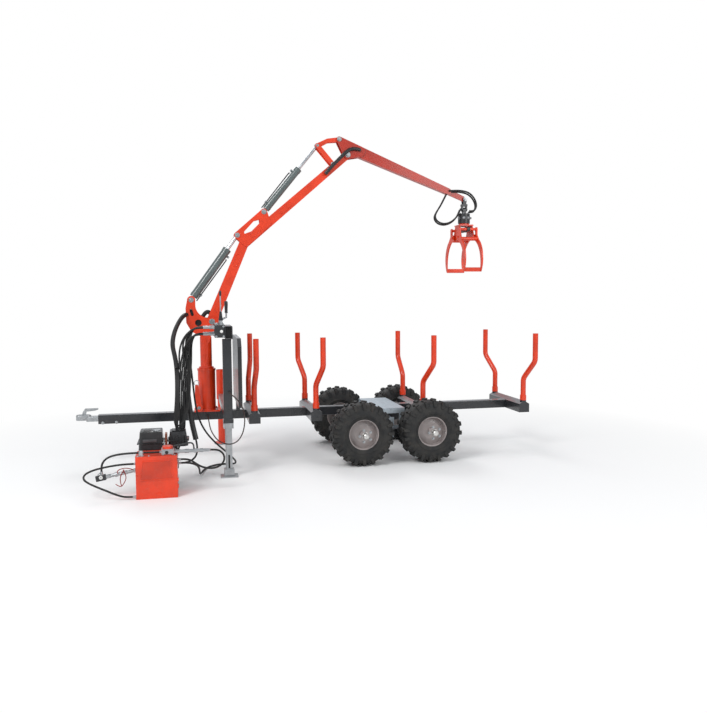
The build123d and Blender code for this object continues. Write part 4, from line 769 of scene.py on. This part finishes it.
class TRAILER_OT_hoses(bpy.types.Operator):
    """The free hoses from the valve block to the power pack, on the pack and at the leg"""

    bl_idname = "trailer.hoses"
    bl_label = "Free hoses"

    def execute(self, context):
        rubber = hose_rubber()
        brown = dusty_rubber("brown_hose_rubber", linear("#33231F"), 0.12, 0.45, 40, 900)
        for node, length, diameter, points in HOSES:
            route = millimetres(*points)
            cover = brown if node == "hose_leg" else rubber
            piece = pipe(f"{node}_cover", route, diameter * MM / 2, cover, "trailer")
            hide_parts(node)
            if node == "hose_valve_2":
                sleeved = [p for p in read_path(route) if -0.095 < p.z < 0.300]
        ribbed("corrugated_sleeve", sleeved, 0.0225, 0.009, "trailer")
        return {"FINISHED"}


# Hoses that cross from the trailer to the slewing column: the port's place across, its height and the hose's offset
CRANE_LINES = (
    (-590, 812, 0),
    (-546, 812, 14),
    (-678, 759, -15),
    (-546, 759, 28),
    (-722, 759, -30),
    (-502, 812, 40),
    (-590, 759, 52),
)
HEAD_SLEEVE = (
    (850, -694, 482), (832, -590, 576), (806, -450, 676), (836, -250, 797), (902, -80, 902), (958, -4, 906),
    (1024, 0, 850), (1066, 0, 876), (1100, 0, 924), (1132, 0, 926), (1148, 0, 896),
)
ELBOW_SLEEVE = (
    (2196, -50, 2168), (2240, -55, 2224), (2334, -58, 2317), (2392, -58, 2374), (2440, -56, 2402), (2500, -52, 2402),
    (2536, -42, 2392),
)
TIP_LOOPS = (
    ("left", (
        (3374, -8, 2022), (3352, -20, 1986), (3304, -44, 1908), (3254, -50, 1836), (3244, -50, 1794), (3270, -54, 1752),
        (3330, -58, 1732), (3396, -60, 1748), (3450, -58, 1790), (3484, -50, 1838), (3506, -32, 1880),
    )),
    ("right", (
        (3386, -38, 2046), (3440, -46, 2050), (3510, -46, 2050), (3584, -48, 2034), (3636, -50, 1986),
        (3662, -50, 1926), (3654, -48, 1880), (3626, -46, 1858), (3590, -42, 1862),
    )),
)


class TRAILER_OT_crane_hoses(bpy.types.Operator):
    """Hoses on the crane: at the slew, at the elbow and at the tip"""

    bl_idname = "trailer.crane_hoses"
    bl_label = "Crane hoses"

    def execute(self, context):
        rubber = hose_rubber()
        for number, (port_y, port_z, aside) in enumerate(CRANE_LINES, 1):
            route = millimetres(
                (1061, port_y, port_z),
                (1012, port_y, port_z),
                (962 + aside * 0.4, port_y - 4, port_z - 28),
                (934 + aside * 0.6, port_y - 10, port_z - 90),
                (912 + aside, -640 - aside, 560),
                (898 + aside, -700 - aside, 400),
                (890 + aside, -738 - aside * 0.6, 250),
                (886 + aside * 0.8, -766 - aside * 0.4, 110 + aside),
                (874 + aside * 0.5, -790, 10 + aside * 1.2),
                (850, -806, -44 + aside * 1.5),
                (832 - aside * 0.2, -808, 0 + aside),
                (836 - aside * 0.3, -808, 110),
                (850 - aside * 0.3, -806, 250),
                (854 - aside * 0.3, -778, 380),
                (850 - aside * 0.3, -694, 482),
                (832 - aside * 0.2, -590, 576),
                (806 + aside * 0.1, -450 + aside * 0.6, 676),
                (836 + aside * 0.2, -250, 797 + aside * 0.3),
                (902, -80, 900 + aside * 0.2),
                (958, -6, 905 + aside * 0.2),
                (1030, 0, 852),
            )
            piece = pipe_mesh(f"crane_line_{number}", route, 0.0068, rubber)
            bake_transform(piece)
        wrap = pipe_mesh("head_sleeve", millimetres(*HEAD_SLEEVE), 0.019, rubber)
        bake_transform(wrap)
        elbow = ribbed("elbow_sleeve", read_path(millimetres(*ELBOW_SLEEVE)), 0.0165, 0.0105)
        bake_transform(elbow)
        for side, points in TIP_LOOPS:
            for aside in (0, 15):
                route = millimetres(*[(x, y + 2 * aside, z - aside * 0.7) for x, y, z in points])
                loop = pipe_mesh(f"tip_loop_{side}_{aside}", route, 0.0078, rubber)
                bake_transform(loop)
        return {"FINISHED"}


class TRAILER_OT_valve(bpy.types.Operator):
    """Sectional valve: bolted sections, fittings, spool caps, bellows and levers"""

    bl_idname = "trailer.valve"
    bl_label = "Valve block"

    NEAR_FACE, LENGTH, COUNT = -744, 264, 6
    PORT_HEIGHTS = (812, 759)
    TIE_BARS = ((1164, 742), (1222, 742), (1222, 822))
    SPOOL_X = 1204
    # A hose's end as (from, to, share of the radius, sides): ferrule with its crimps, swivel nut and adapter
    HOSE_END = (
        (0.0, 0.46, 1.0, 20),
        (0.05, 0.09, 1.1, 20),
        (0.15, 0.19, 1.1, 20),
        (0.25, 0.29, 1.1, 20),
        (0.35, 0.39, 1.1, 20),
        (0.44, 0.86, 0.68, 16),
        (0.54, 0.74, 1.25, 6),
        (0.80, 1.0, 1.42, 6),
    )
    BRACKET = ((1198, 868), (1212, 868), (1256, 890), (1256, 930), (1248, 930), (1248, 896), (1198, 874))
    KNOB = ((0, 0), (0.0055, 0), (0.0075, 0.010), (0.0085, 0.026), (0.0078, 0.037), (0.0045, 0.043), (0, 0.044))
    GRIP = (
        (0, 0), (0.0095, 0), (0.0105, 0.006), (0.0088, 0.012), (0.0100, 0.040), (0.0118, 0.070), (0.0116, 0.088),
        (0.0080, 0.097), (0, 0.098),
    )

    def execute(self, context):
        casting, plated = casting_paint(), zinc_plate()
        near, x = self.NEAR_FACE, self.SPOOL_X
        sections = [near + self.LENGTH * (n + 0.5) / self.COUNT for n in range(self.COUNT)]
        tall, low_levers = (sections[0], sections[2]), (sections[1], sections[3], sections[4])
        bm = bmesh.new()
        for y in sections:
            slab(bm, (1152, 1234), (y - 21.4, y + 21.4), (731, 833), 2)
        for bar_x, z in self.TIE_BARS:
            stack(bm, (bar_x, 0, z), ACROSS, (near, near + self.LENGTH, 6, 12))
        body = finish(bm, "valve_sections", casting, "trailer", bevel=0.0008)
        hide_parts("valve_block")

        bm = bmesh.new()
        for y in sections:
            for z in self.PORT_HEIGHTS:
                hose, port = mm(1061, y, z), mm(1152, y, z)
                for start, end, share, sides in self.HOSE_END:
                    rod(bm, hose.lerp(port, start), hose.lerp(port, end), 0.0088 * share, segments=sides)
            stack(bm, (x, y, 0), UP, (832, 858, 14.8, 24), (858, 870, 11.5, 24))
            bolts(bm, UP, 7.5, 9, (1166, y, 833), (1222, y, 833))
            stack(bm, (1176, y, 0), UP, (833, 846, 8.5, 6))
        bolts(bm, NEAR, 6.5, 6, *((bar_x, near + 1, z) for bar_x, z in self.TIE_BARS))
        finish(bm, "valve_fittings", plated, "trailer")

        bm = bmesh.new()
        for y in tall:
            for fold in range(7):
                low, wide = 869 + fold * 10.4, 17 - fold * 1.25
                out, back = (low, low + 5.2, wide - 2.5, 28, wide), (low + 5.2, low + 10.4, wide, 28, wide - 3.4)
                stack(bm, (x, y, 0), UP, out, back)
        bellows = dusty_rubber("bellows_rubber", linear("#26272A"), 0.15, 0.5, 40, 600)
        finish(bm, "lever_bellows", bellows, "trailer", 60)

        bm = bmesh.new()
        for y in tall:
            stack(bm, (x, y, 0), UP, (930, 1072, 3.8, 14))
        for y in low_levers:
            plate(bm, [(u * MM, v * MM) for u, v in self.BRACKET], 0.006, Matrix.Translation(mm(0, y + 3, 0)) @ UPRIGHT)
        finish(bm, "lever_stems", plated, "trailer", bevel=0.0006)

        bm = bmesh.new()
        for y in tall:
            turned(bm, self.KNOB, mm(x, y, 1067), UP, 24)
        for y in low_levers:
            turned(bm, self.GRIP, mm(1252, y, 928), UP, 24)
        finish(bm, "lever_grips", black_plastic("lever_plastic", linear("#121213"), 0.28), "trailer", 40)

        # A near-black sheet inside the rail: painted shade.
        bm = bmesh.new()
        low, high = (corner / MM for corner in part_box("valve_rail"))
        slab(bm, (low.x + 5, high.x - 5), (low.y + 30, low.y + 32), (low.z + 5, high.z - 5))
        finish(bm, "rail_inside", slot_shadow(), "trailer")
        bm = bmesh.new()
        stack(bm, (1206, 0, 782), ACROSS, (near, near - 4, 12.5, 28), (near - 4, near - 6, 6, 6))
        finish(bm, "port_plug", white_paint("white_plug"), "trailer", bevel=0.0008)
        return {"FINISHED"}


class TRAILER_OT_power_pack(bpy.types.Operator):
    """Covers, pump, couplers, fittings and small wires of the power pack"""

    bl_idname = "trailer.power_pack"
    bl_label = "Power pack"

    TANK_FRONT = -1.2582
    PANEL = ((0.575, -0.276), (0.811, -0.276), (0.791, -0.141), (0.595, -0.141))
    # The coupler on the pump and the pipe to the hand valve, as (from, to, radius, sides) along their lines
    COUPLER = (
        (822, 860, 16, 6), (856, 900, 12.4, 24), (898, 930, 15.5, 6), (930, 966, 12.6, 24), (966, 990, 16.5, 24),
        (990, 1010, 13.5, 24), (1010, 1034, 15.0, 6), (1034, 1085.5, 11.6, 24),
        (1040, 1044, 12.6, 24), (1050, 1054, 12.6, 24), (1060, 1064, 12.6, 24), (1070, 1074, 12.6, 24),
    )
    VALVE_PIPE = (
        (0, 12, 17, 6), (12, 60, 12.2, 24), (60, 84, 15.5, 6), (84, 128, 13.5, 24), (128, 150, 16.5, 24),
        (150, 180, 12.4, 24), (180, 215, 15.5, 6),
    )
    # Where hoses end on the tank: the side, the place across and the height
    TANK_PORTS = ((1, -1199, -147), (1, -1085, -200), (-1, -1060, -194), (-1, -1232, -402))
    WIRES = (
        ("wire_a", (
            (522, -1156, -216), (500, -1158, -206), (462, -1158, -200), (430, -1158, -206), (402, -1158, -222),
            (412, -1158, -240),
        )),
        ("wire_b", (
            (456, -1154, -214), (440, -1158, -236), (426, -1159, -271), (428, -1160, -310), (436, -1160, -335),
            (420, -1160, -338), (392, -1158, -318),
        )),
        ("wire_c", (
            (448, -1154, -212), (462, -1158, -240), (470, -1159, -275), (456, -1160, -310), (436, -1160, -336),
        )),
    )

    def execute(self, context):
        plated, casting = zinc_plate(), casting_paint()
        self.tank_top(plated, casting)
        self.hand_valve(plated)
        self.tank_front()
        wire = dusty_rubber("red_wire", linear("#8E1F1A"), 0.05, 0.4, 60, 900)
        for name, points in self.WIRES:
            pipe(name, millimetres(*points), 0.0032, wire, "trailer", 8)
        self.engine(plated, casting)
        return {"FINISHED"}

    def tank_top(self, plated, casting):
        """The hand pump with its coupler, the filler, the ports and the lid's bolts."""
        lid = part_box("pack_tank")[0].z / MM + 316
        pump = (0, -1197, lid + 18)
        bm = bmesh.new()
        slab(bm, (727.8, 822.2), (-1235.8, -1158.2), (lid + 0.5, lid + 46.6), 4)
        stack(bm, pump, REARWARD, *self.COUPLER)
        stack(bm, (585, -1225, lid), UP, (0.5, 8, 21, 6), (8, 32.5, 17.6, 28), (32, 40, 14.5, 28, 12))
        for side, y, z in self.TANK_PORTS:
            stack(bm, (693 + side * 150, y, z), (side, 0, 0), (0, 8, 12.5, 6), (8, 25, 9.6, 20))
        stack(bm, pump, REARWARD, (728.5, 716, 12, 6))
        finish(bm, "pack_fittings", plated, "trailer", bevel=0.0006)

        # A near-black disc on the pump block's face: painted shade of the port's bore.
        bm = bmesh.new()
        stack(bm, (768, 0, lid + 21), ACROSS, (-1235.6, -1237, 13, 28))
        finish(bm, "pump_port", black_plastic("dark_port", linear("#060606"), 0.6), "trailer")

        bm = bmesh.new()
        bolts(bm, NEAR, 5.2, 5, *((x, -1235.6, lid + z) for z in (8, 38) for x in (741, 809)))
        lid_bolts = ((560, -1240), (826, -1240), (560, -1034), (826, -1034), (640, -1240))
        bolts(bm, UP, 5.5, 6, *((x, y, lid) for x, y in lid_bolts))
        finish(bm, "pack_bolts", plated, "trailer")

        lever = ((800, 60), (850, 62), (910, 76), (950, 80), (966, 60), (966, 30))
        pipe("pump_lever", millimetres(*((x, -1197, lid + z) for x, z in lever)), 0.0058, casting, "trailer")

    def hand_valve(self, plated):
        slope = math.radians(10)
        bm = bmesh.new()
        stack(bm, (537, -1140, -225), (-math.cos(slope), 0, -math.sin(slope)), *self.VALVE_PIPE)
        stack(bm, (294, -1140, 0), UP, (-252, -236, 13.5, 6), (-236, -221.5, 9.6, 20))
        finish(bm, "hand_valve_fittings", plated, "trailer", bevel=0.0005)
        bm = bmesh.new()
        stack(bm, (290, 0, -262), ACROSS, (-1159, -1163, 13.5, 28))
        finish(bm, "hand_valve_button", white_paint("white_button"), "trailer", bevel=0.0008)
        bm = bmesh.new()
        stack(bm, (290, 0, -262), ACROSS, (-1159, -1165, 5, 20))
        slab(bm, (262, 300), (-1150, -1132), (-236, -231), 1.5, Matrix.Rotation(math.radians(-38), 4, "Y"))
        finish(bm, "hand_valve_lever", plated, "trailer")

    def tank_front(self):
        """The pressed panel in a painted shade of the crane paint, with its raised edge, the tabs and the foot's lip.
        """
        bright, y = crane_paint(), self.TANK_FRONT
        bm = bmesh.new()
        plate(bm, self.PANEL, 0.0004, Matrix.Translation((0, y + 0.0002, 0)) @ UPRIGHT)
        # The crane paint at 0.78 of its brightness: painted shade on the pressed panel.
        shaded_crane_paint = powder_coat("deep_orange_powder_coat", tuple(c * 0.78 for c in shades("crane")), 0.36, 0.2)
        finish(bm, "tank_panel", shaded_crane_paint, "trailer")
        for number, (first, last) in enumerate(zip(self.PANEL, (*self.PANEL[1:], self.PANEL[0]))):
            bm = bmesh.new()
            corner = Vector((first[0], y, first[1]))
            rod(bm, corner, (last[0], y, last[1]), 0.0026, segments=12)
            place = Matrix.Translation(corner)
            bmesh.ops.create_uvsphere(bm, u_segments=18, v_segments=12, radius=0.0026, matrix=place)
            finish(bm, f"panel_edge_{number}", bright, "trailer")
        bm = bmesh.new()
        slab(bm, (684, 726), (-1258.5, -1254), (-398, -378), 1.5)
        for low_z in (-302, -350):
            slab(bm, (842, 850), (-1250, -1222), (low_z, low_z + 26), 2)
        slab(bm, (542.6, 843.4), (-1255.4, -1254.4), (-419, -408), 0.4)
        finish(bm, "tank_tabs", bright, "trailer")

    def engine(self, plated, casting):
        """Fuel tank, air cleaner, exhaust shield, cooling fins and fasteners."""
        gloss = black_plastic("glossy_engine_cover", linear("#0F0F10"), 0.2)
        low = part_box("pack_engine")[0] / MM
        front = low.y + 25
        bm = bmesh.new()
        slab(bm, (540, 747), (front - 3, front + 224), (-62, -56), 2.5)
        slab(bm, (566, 722), (front + 20, front + 200), (22, 29), 3)
        finish(bm, "fuel_tank_seam", gloss, "trailer", bevel=0.001)
        # A near-black sheet in the tank's top recess: painted shade.
        bm = bmesh.new()
        slab(bm, (588, 646), (front + 30, front + 130), (29, 30.5), 0.6)
        finish(bm, "fuel_tank_recess", black_plastic("recess_shadow", linear("#050505"), 0.7), "trailer")
        bm = bmesh.new()
        cap_x, cap_y, cap_radius, grips = 688, front + 60, 27, 12
        stack(bm, (cap_x, cap_y, 0), UP, (28, 40, cap_radius, 36))
        for step in range(grips):
            angle = math.tau * step / grips
            x, y = cap_x + cap_radius * math.cos(angle), cap_y + cap_radius * math.sin(angle)
            stack(bm, (x, y, 0), UP, (29, 39, 3.2, 8))
        finish(bm, "fuel_cap", plated, "trailer", bevel=0.0008)
        bm = bmesh.new()
        slab(bm, (584, 688), (front - 5.5, front - 3.5), (-46, -22), 0.8, Matrix.Rotation(math.radians(-5), 4, "X"))
        finish(bm, "blank_plate", black_plastic("blank_plate_face", linear("#3A3B3D"), 0.35), "trailer")

        bm = bmesh.new()
        lean = Matrix.Rotation(math.radians(-9), 4, "X")
        for x in range(790, 922, 22):
            slab(bm, (x, x + 9), (front + 16, front + 26), (-84, -6), 2, lean)
        slab(bm, (766, 931), (front + 18, front + 202), (-52, -46), 2.5)
        slab(bm, (800, 898), (front + 55, front + 160), (22, 28), 4)
        stack(bm, (849, front + 110, 0), UP, (26, 38, 11, 8))
        finish(bm, "air_cleaner_ribs", gloss, "trailer", bevel=0.001)

        bm = bmesh.new()
        slab(bm, (749, 766), (front + 20, front + 90), (-100, 12), 4)
        for z in range(-88, 12, 20):
            slab(bm, (748, 767), (front + 17, front + 22), (z, z + 8), 1.5)
        finish(bm, "exhaust_shield", plated_steel("heat_tinted_steel", linear("#9A6A58"), 0.4), "trailer")

        bm = bmesh.new()
        for z in range(-320, -122, 22):
            slab(bm, (583, 803), (front + 1, front + 214), (z, z + 5), 1.2)
        finish(bm, "cylinder_fins", casting, "trailer")
        bm = bmesh.new()
        bolts(bm, UP, 9, 10, *((x, low.y + y, low.z + 50) for x in (562, 824) for y in (24, 240)))
        stack(bm, (814, -782, 0), UP, (-372, -368, 21.5, 24), (-250, -237, 21.5, 6), (-238, -228.5, 9.6, 20))
        stack(bm, (832, -835, 0), UP, (-236, -228.5, 12.5, 6))
        finish(bm, "engine_fasteners", plated, "trailer")


class TRAILER_OT_crane_details(bpy.types.Operator):
    """Pin nuts, cylinder glands, ports and pipes, painted shade in the hollows and weld beads of the crane"""

    bl_idname = "trailer.crane_details"
    bl_label = "Crane details"

    # Each pin: its body, its (x, z), half the width over its bosses and its nut's radius
    PINS = (
        ("column", (1151, 838), 49, 19),
        ("column", (973, 1033), 49, 16),
        ("boom", (1391, 1609), 38, 16),
        ("boom", (1633, 1820), 38, 16),
        ("boom", (2270, 2260), 39, 15),
        ("boom", (2408, 2350), 41.8, 18),
        ("link", (2128, 2424), 28, 15),
        ("link", (2330, 2486), 41.8, 15),
        ("hanger", (3553, 1973), 36, 14),
    )
    # Each oval of weld: its middle, the boom's direction there, half its length and its place across
    OVALS = (
        ((1383, 1385), (0.393, 0.919), 58, 30.5),
        ((1830, 1860), (0.761, 0.649), 70, 30.5),
        ((1205, 975), (0.393, 0.919), 52, 30.5),
        ((1560, 1640), (0.761, 0.649), 62, 38.5),
    )
    OVAL_RADIUS, OVAL_STEPS = 20, 24

    def execute(self, context):
        by_body = {}
        for body, (x, z), half, wide in self.PINS:
            bm = by_body.setdefault(body, bmesh.new())
            for side in (-1, 1):
                rows = ((0, 3, wide * 1.42, 28), (3, 13, wide, 6), (13, 16, wide * 0.55, 16))
                stack(bm, (x, side * half, z), (0, side, 0), *rows)
        for body, bm in by_body.items():
            finish(bm, f"pin_nuts_{body}", zinc_plate(), body, bevel=0.0008)
        self.cylinder("lift_barrel", (973, 1033), (1391, 1609), 560, 36, 17.5, -1)
        self.cylinder("arm_barrel", (1633, 1820), (2128, 2424), 510, 31, 15, 1)
        self.ovals()
        self.column()
        return {"FINISHED"}

    def cylinder(self, body, base, eye, end, wide, rod_wide, side):
        """Gland, collar, ports and the pipe along one side of a barrel."""
        along = (mm(eye[0], 0, eye[1]) - mm(base[0], 0, base[1])).normalized()
        aside = side * Vector((-along.z, 0, along.x))
        foot = (base[0], 0, base[1])

        def spot(distance, out):
            return mm(*foot) + along * distance * MM + aside * out * MM

        def outward(bm, distance, start, stop, radius, sides):
            rod(bm, spot(distance, start), spot(distance, stop), radius, segments=sides)

        ports = (84, end - 56)
        bm = bmesh.new()
        stack(bm, foot, along, (end - 34, end + 0.5, wide + 2.6, 40), (50, 66, wide + 1.8, 40))
        for distance in ports:
            outward(bm, distance, wide - 4, wide + 10, 0.011, 20)
        finish(bm, f"{body}_gland", cylinder_paint(), body, bevel=0.0012)
        bm = bmesh.new()
        stack(bm, foot, along, (end, end + 5, rod_wide + 6, 32))
        for distance in ports:
            outward(bm, distance, wide + 9, wide + 20, 0.0105, 6)
        finish(bm, f"{body}_ports", zinc_plate(), body, bevel=0.0006)
        bend = ((end - 84, 4), (end - 84, 11), (end - 90, 13), (end - 108, 13), (end - 240, 11))
        route = [spot(distance, wide + out) for distance, out in (*bend, (150, 9), (60, 8), (20, 8))]
        pipe(f"{body}_tube", route, 0.0055, casting_paint(), body)

    def ovals(self):
        bm = bmesh.new()
        radius, steps = self.OVAL_RADIUS, self.OVAL_STEPS
        for (x, z), (dx, dz), half, out in self.OVALS:
            along, aside = Vector((dx, 0, dz)), Vector((-dz, 0, dx))
            for side in (-1, 1):
                loop = []
                for step in range(steps + 1):
                    angle = math.tau * step / steps
                    straight = half - radius if math.cos(angle) > 0 else radius - half
                    flat = along * (straight + radius * math.cos(angle)) + aside * radius * math.sin(angle)
                    loop.append((Vector((x, side * out, z)) + flat) * MM)
                for first, second in zip(loop, loop[1:]):
                    rod(bm, first, second, 0.0024, segments=8)
        finish(bm, "boom_ovals", crane_paint(), "boom", 60)

    def column(self):
        """Painted shade in the head's hollows, the column's weld and the rings of its housing."""
        axis = mm(1093, 0, 0)
        # Near-black rods across the head's big hole and slot: painted shade.
        bm = bmesh.new()
        stack(bm, (1030, 0, 829), ACROSS, (-33, 33, 31, 32))
        stack(bm, (971, 0, 921), ACROSS, (-33, 33, 30, 32))
        finish(bm, "head_shadow", slot_shadow(), "column")
        bm = bmesh.new()
        turned(bm, ((0.0515, 0.4302), (0.0560, 0.4302), (0.0515, 0.4365), (0.0515, 0.4302)), axis, UP, 48)
        finish(bm, "column_weld", crane_paint(), "column", 60)
        bm = bmesh.new()
        turned(bm, ((0.0775, 0.0442), (0.0835, 0.0442), (0.0775, 0.0505), (0.0775, 0.0442)), axis, UP, 48)
        lip = ((0.0775, 0.398), (0.0815, 0.398), (0.0815, 0.4155), (0.0775, 0.4155), (0.0775, 0.398))
        turned(bm, lip, axis, UP, 48)
        finish(bm, "housing_rings", crane_paint(), "trailer", 40)


class TRAILER_OT_grapple_details(bpy.types.Operator):
    """Rotator bolts and ports, jaw pin nuts and the guide rings over the grapple"""

    bl_idname = "trailer.grapple_details"
    bl_label = "Grapple details"

    def execute(self, context):
        plated = zinc_plate()
        low, high = (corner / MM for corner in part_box("rotator"))
        middle = (low.x + high.x) / 2
        bm = bmesh.new()
        angles = [math.tau * (step + 0.5) / 8 for step in range(8)]
        bolts(bm, UP, 6, 7, *((middle + 46 * math.cos(a), 46 * math.sin(a), 1836) for a in angles))
        for angle in (200, 250, 290, 340):
            out = Vector((math.cos(math.radians(angle)), math.sin(math.radians(angle)), 0))
            hexagon(bm, mm(middle, 0, 1795) + out * 0.0565, out, 0.010, 0.014)
        finish(bm, "rotator_fittings", plated, "rotator", bevel=0.0005)
        bm = bmesh.new()
        for y in (-75, 75):
            for side in (-1, 1):
                stack(bm, (middle + side * 84, y, 1612), (side, 0, 0), (0, 3, 18, 24), (3, 12, 12.5, 6))
        finish(bm, "jaw_pin_nuts", plated, "grapple", bevel=0.0006)
        bm = bmesh.new()
        for y in (-30, 30):
            ring(bm, mm(middle, y, 1748), ACROSS, 0.030, 0.0045)
        finish(bm, "guide_rings", casting_paint(), "rotator")
        return {"FINISHED"}


class TRAILER_OT_chassis_details(bpy.types.Operator):
    """Bolts, beads, the hook on the base, the near leg's collar and bracket and the far leg's foot"""

    bl_idname = "trailer.chassis_details"
    bl_label = "Chassis details"

    HOOK_EYE = ((0, -0.008), (0.034, -0.008), (0.036, -0.005), (0.036, 0.005), (0.034, 0.008), (0, 0.008))
    HOOK = (
        (0.988, 0.270), (1.004, 0.284), (1.018, 0.266), (1.044, 0.100), (1.040, 0.070), (0.994, 0.060), (0.984, 0.100),
    )
    FAR_FOOT = ((0, 0.0105), (0.040, 0.0105), (0.0788, 0.0105), (0.0792, 0.0), (0.0786, -0.0002))

    def execute(self, context):
        plated, orange = zinc_plate(), crane_paint()
        bm = bmesh.new()
        bolts(bm, NEAR, 10, 9, (188, -40, -40), (304, -40, -39))
        bolts(bm, UP, 10, 12, *((x, y, 44) for x in (1012, 1176) for y in (-70, 70)))
        bolts(bm, NEAR, 8, 6, (-12, -29, 8), (40, -29, 8))
        finish(bm, "frame_bolts", plated, "trailer", bevel=0.0006)

        bm = bmesh.new()
        for y in (-40, 40):
            for x in (1004, 1182):
                bead(bm, mm(x, y, 28), mm(x, y, -44), 0.0028)
        finish(bm, "frame_beads", chassis_paint(), "trailer")

        bm = bmesh.new()
        turned(bm, self.HOOK_EYE, mm(1018, -104, 72), ACROSS, 36)
        plate(bm, self.HOOK, 0.012, Matrix.Translation((0, -0.098, 0)) @ UPRIGHT)
        finish(bm, "transport_hook", orange, "trailer", bevel=0.0015)
        bm = bmesh.new()
        bolts(bm, NEAR, 11, 9, (1018, -112, 72))
        stack(bm, (1018, 0, 72), ACROSS, (-96, -84, 12, 20))
        ring(bm, mm(1002, -104, 296), ACROSS, 0.022, 0.004)
        finish(bm, "hook_bolt", plated, "trailer")

        bm = bmesh.new()
        for x in ((1206, 1218), (1276, 1288)):
            slab(bm, x, (-742, -658), (-14, 30), 1.5)
        for y in ((-742, -730), (-670, -658)):
            slab(bm, (1219, 1275), y, (-14, 30), 1.5)
        bolts(bm, NEAR, 10, 10, (1247, -742, 8))
        finish(bm, "leg_collar", plated, "trailer")
        bm = bmesh.new()
        low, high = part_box("leg_far")
        turned(bm, self.FAR_FOOT, Vector(((low.x + high.x) / 2, (low.y + high.y) / 2, low.z)), UP, 48)
        finish(bm, "far_foot_plate", plated, "leg_far")
        frame["nodes"]["leg_far"].data.materials[0] = orange
        # A thin near-black sheet on the near leg: painted shade of its slot.
        bm = bmesh.new()
        slab(bm, (1240, 1254), (-728.2, -727.1), (-345, -235))
        finish(bm, "leg_slot", slot_shadow(), "leg_near")
        bm = bmesh.new()
        for y in ((-738, -729), (-671, -662)):
            slab(bm, (1206, 1288), y, (-410, -352), 2)
        bolts(bm, NEAR, 9, 10, (1247, -738, -378))
        finish(bm, "foot_bracket", plated, "leg_near")
        return {"FINISHED"}


def main():
    classes = (*GROUPS, *OPERATORS, TRAILER_PT_panel)
    for group in classes:
        if group.is_registered:
            bpy.utils.unregister_class(group)
    register()
    for operator in OPERATORS:
        space, name = operator.bl_idname.split(".")
        getattr(getattr(bpy.ops, space), name)()


GROUPS = (TRAILER_PG_colours, TRAILER_PG_sizes)
OPERATORS = (
    TRAILER_OT_stage,
    TRAILER_OT_finishes,
    TRAILER_OT_hoses,
    TRAILER_OT_crane_hoses,
    TRAILER_OT_tyres,
    TRAILER_OT_rims,
    TRAILER_OT_valve,
    TRAILER_OT_power_pack,
    TRAILER_OT_crane_details,
    TRAILER_OT_grapple_details,
    TRAILER_OT_chassis_details,
)


class TRAILER_PT_panel(bpy.types.Panel):
    bl_label = "Crane trailer"
    bl_idname = "TRAILER_PT_panel"
    bl_space_type = "VIEW_3D"
    bl_region_type = "UI"
    bl_category = "Crane trailer"

    def draw(self, context):
        column = self.layout.column()
        for group in (context.scene.trailer_colours, context.scene.trailer_sizes):
            for name in group.bl_rna.properties.keys():
                if name not in ("rna_type", "name"):
                    column.prop(group, name)
        for operator in OPERATORS:
            column.operator(operator.bl_idname)


def register():
    for group in (*GROUPS, *OPERATORS, TRAILER_PT_panel):
        bpy.utils.register_class(group)
    bpy.types.Scene.trailer_colours = PointerProperty(type=TRAILER_PG_colours)
    bpy.types.Scene.trailer_sizes = PointerProperty(type=TRAILER_PG_sizes)


def unregister():
    del bpy.types.Scene.trailer_sizes
    del bpy.types.Scene.trailer_colours
    for group in reversed((*GROUPS, *OPERATORS, TRAILER_PT_panel)):
        bpy.utils.unregister_class(group)


if __name__ == "__main__":
    main()
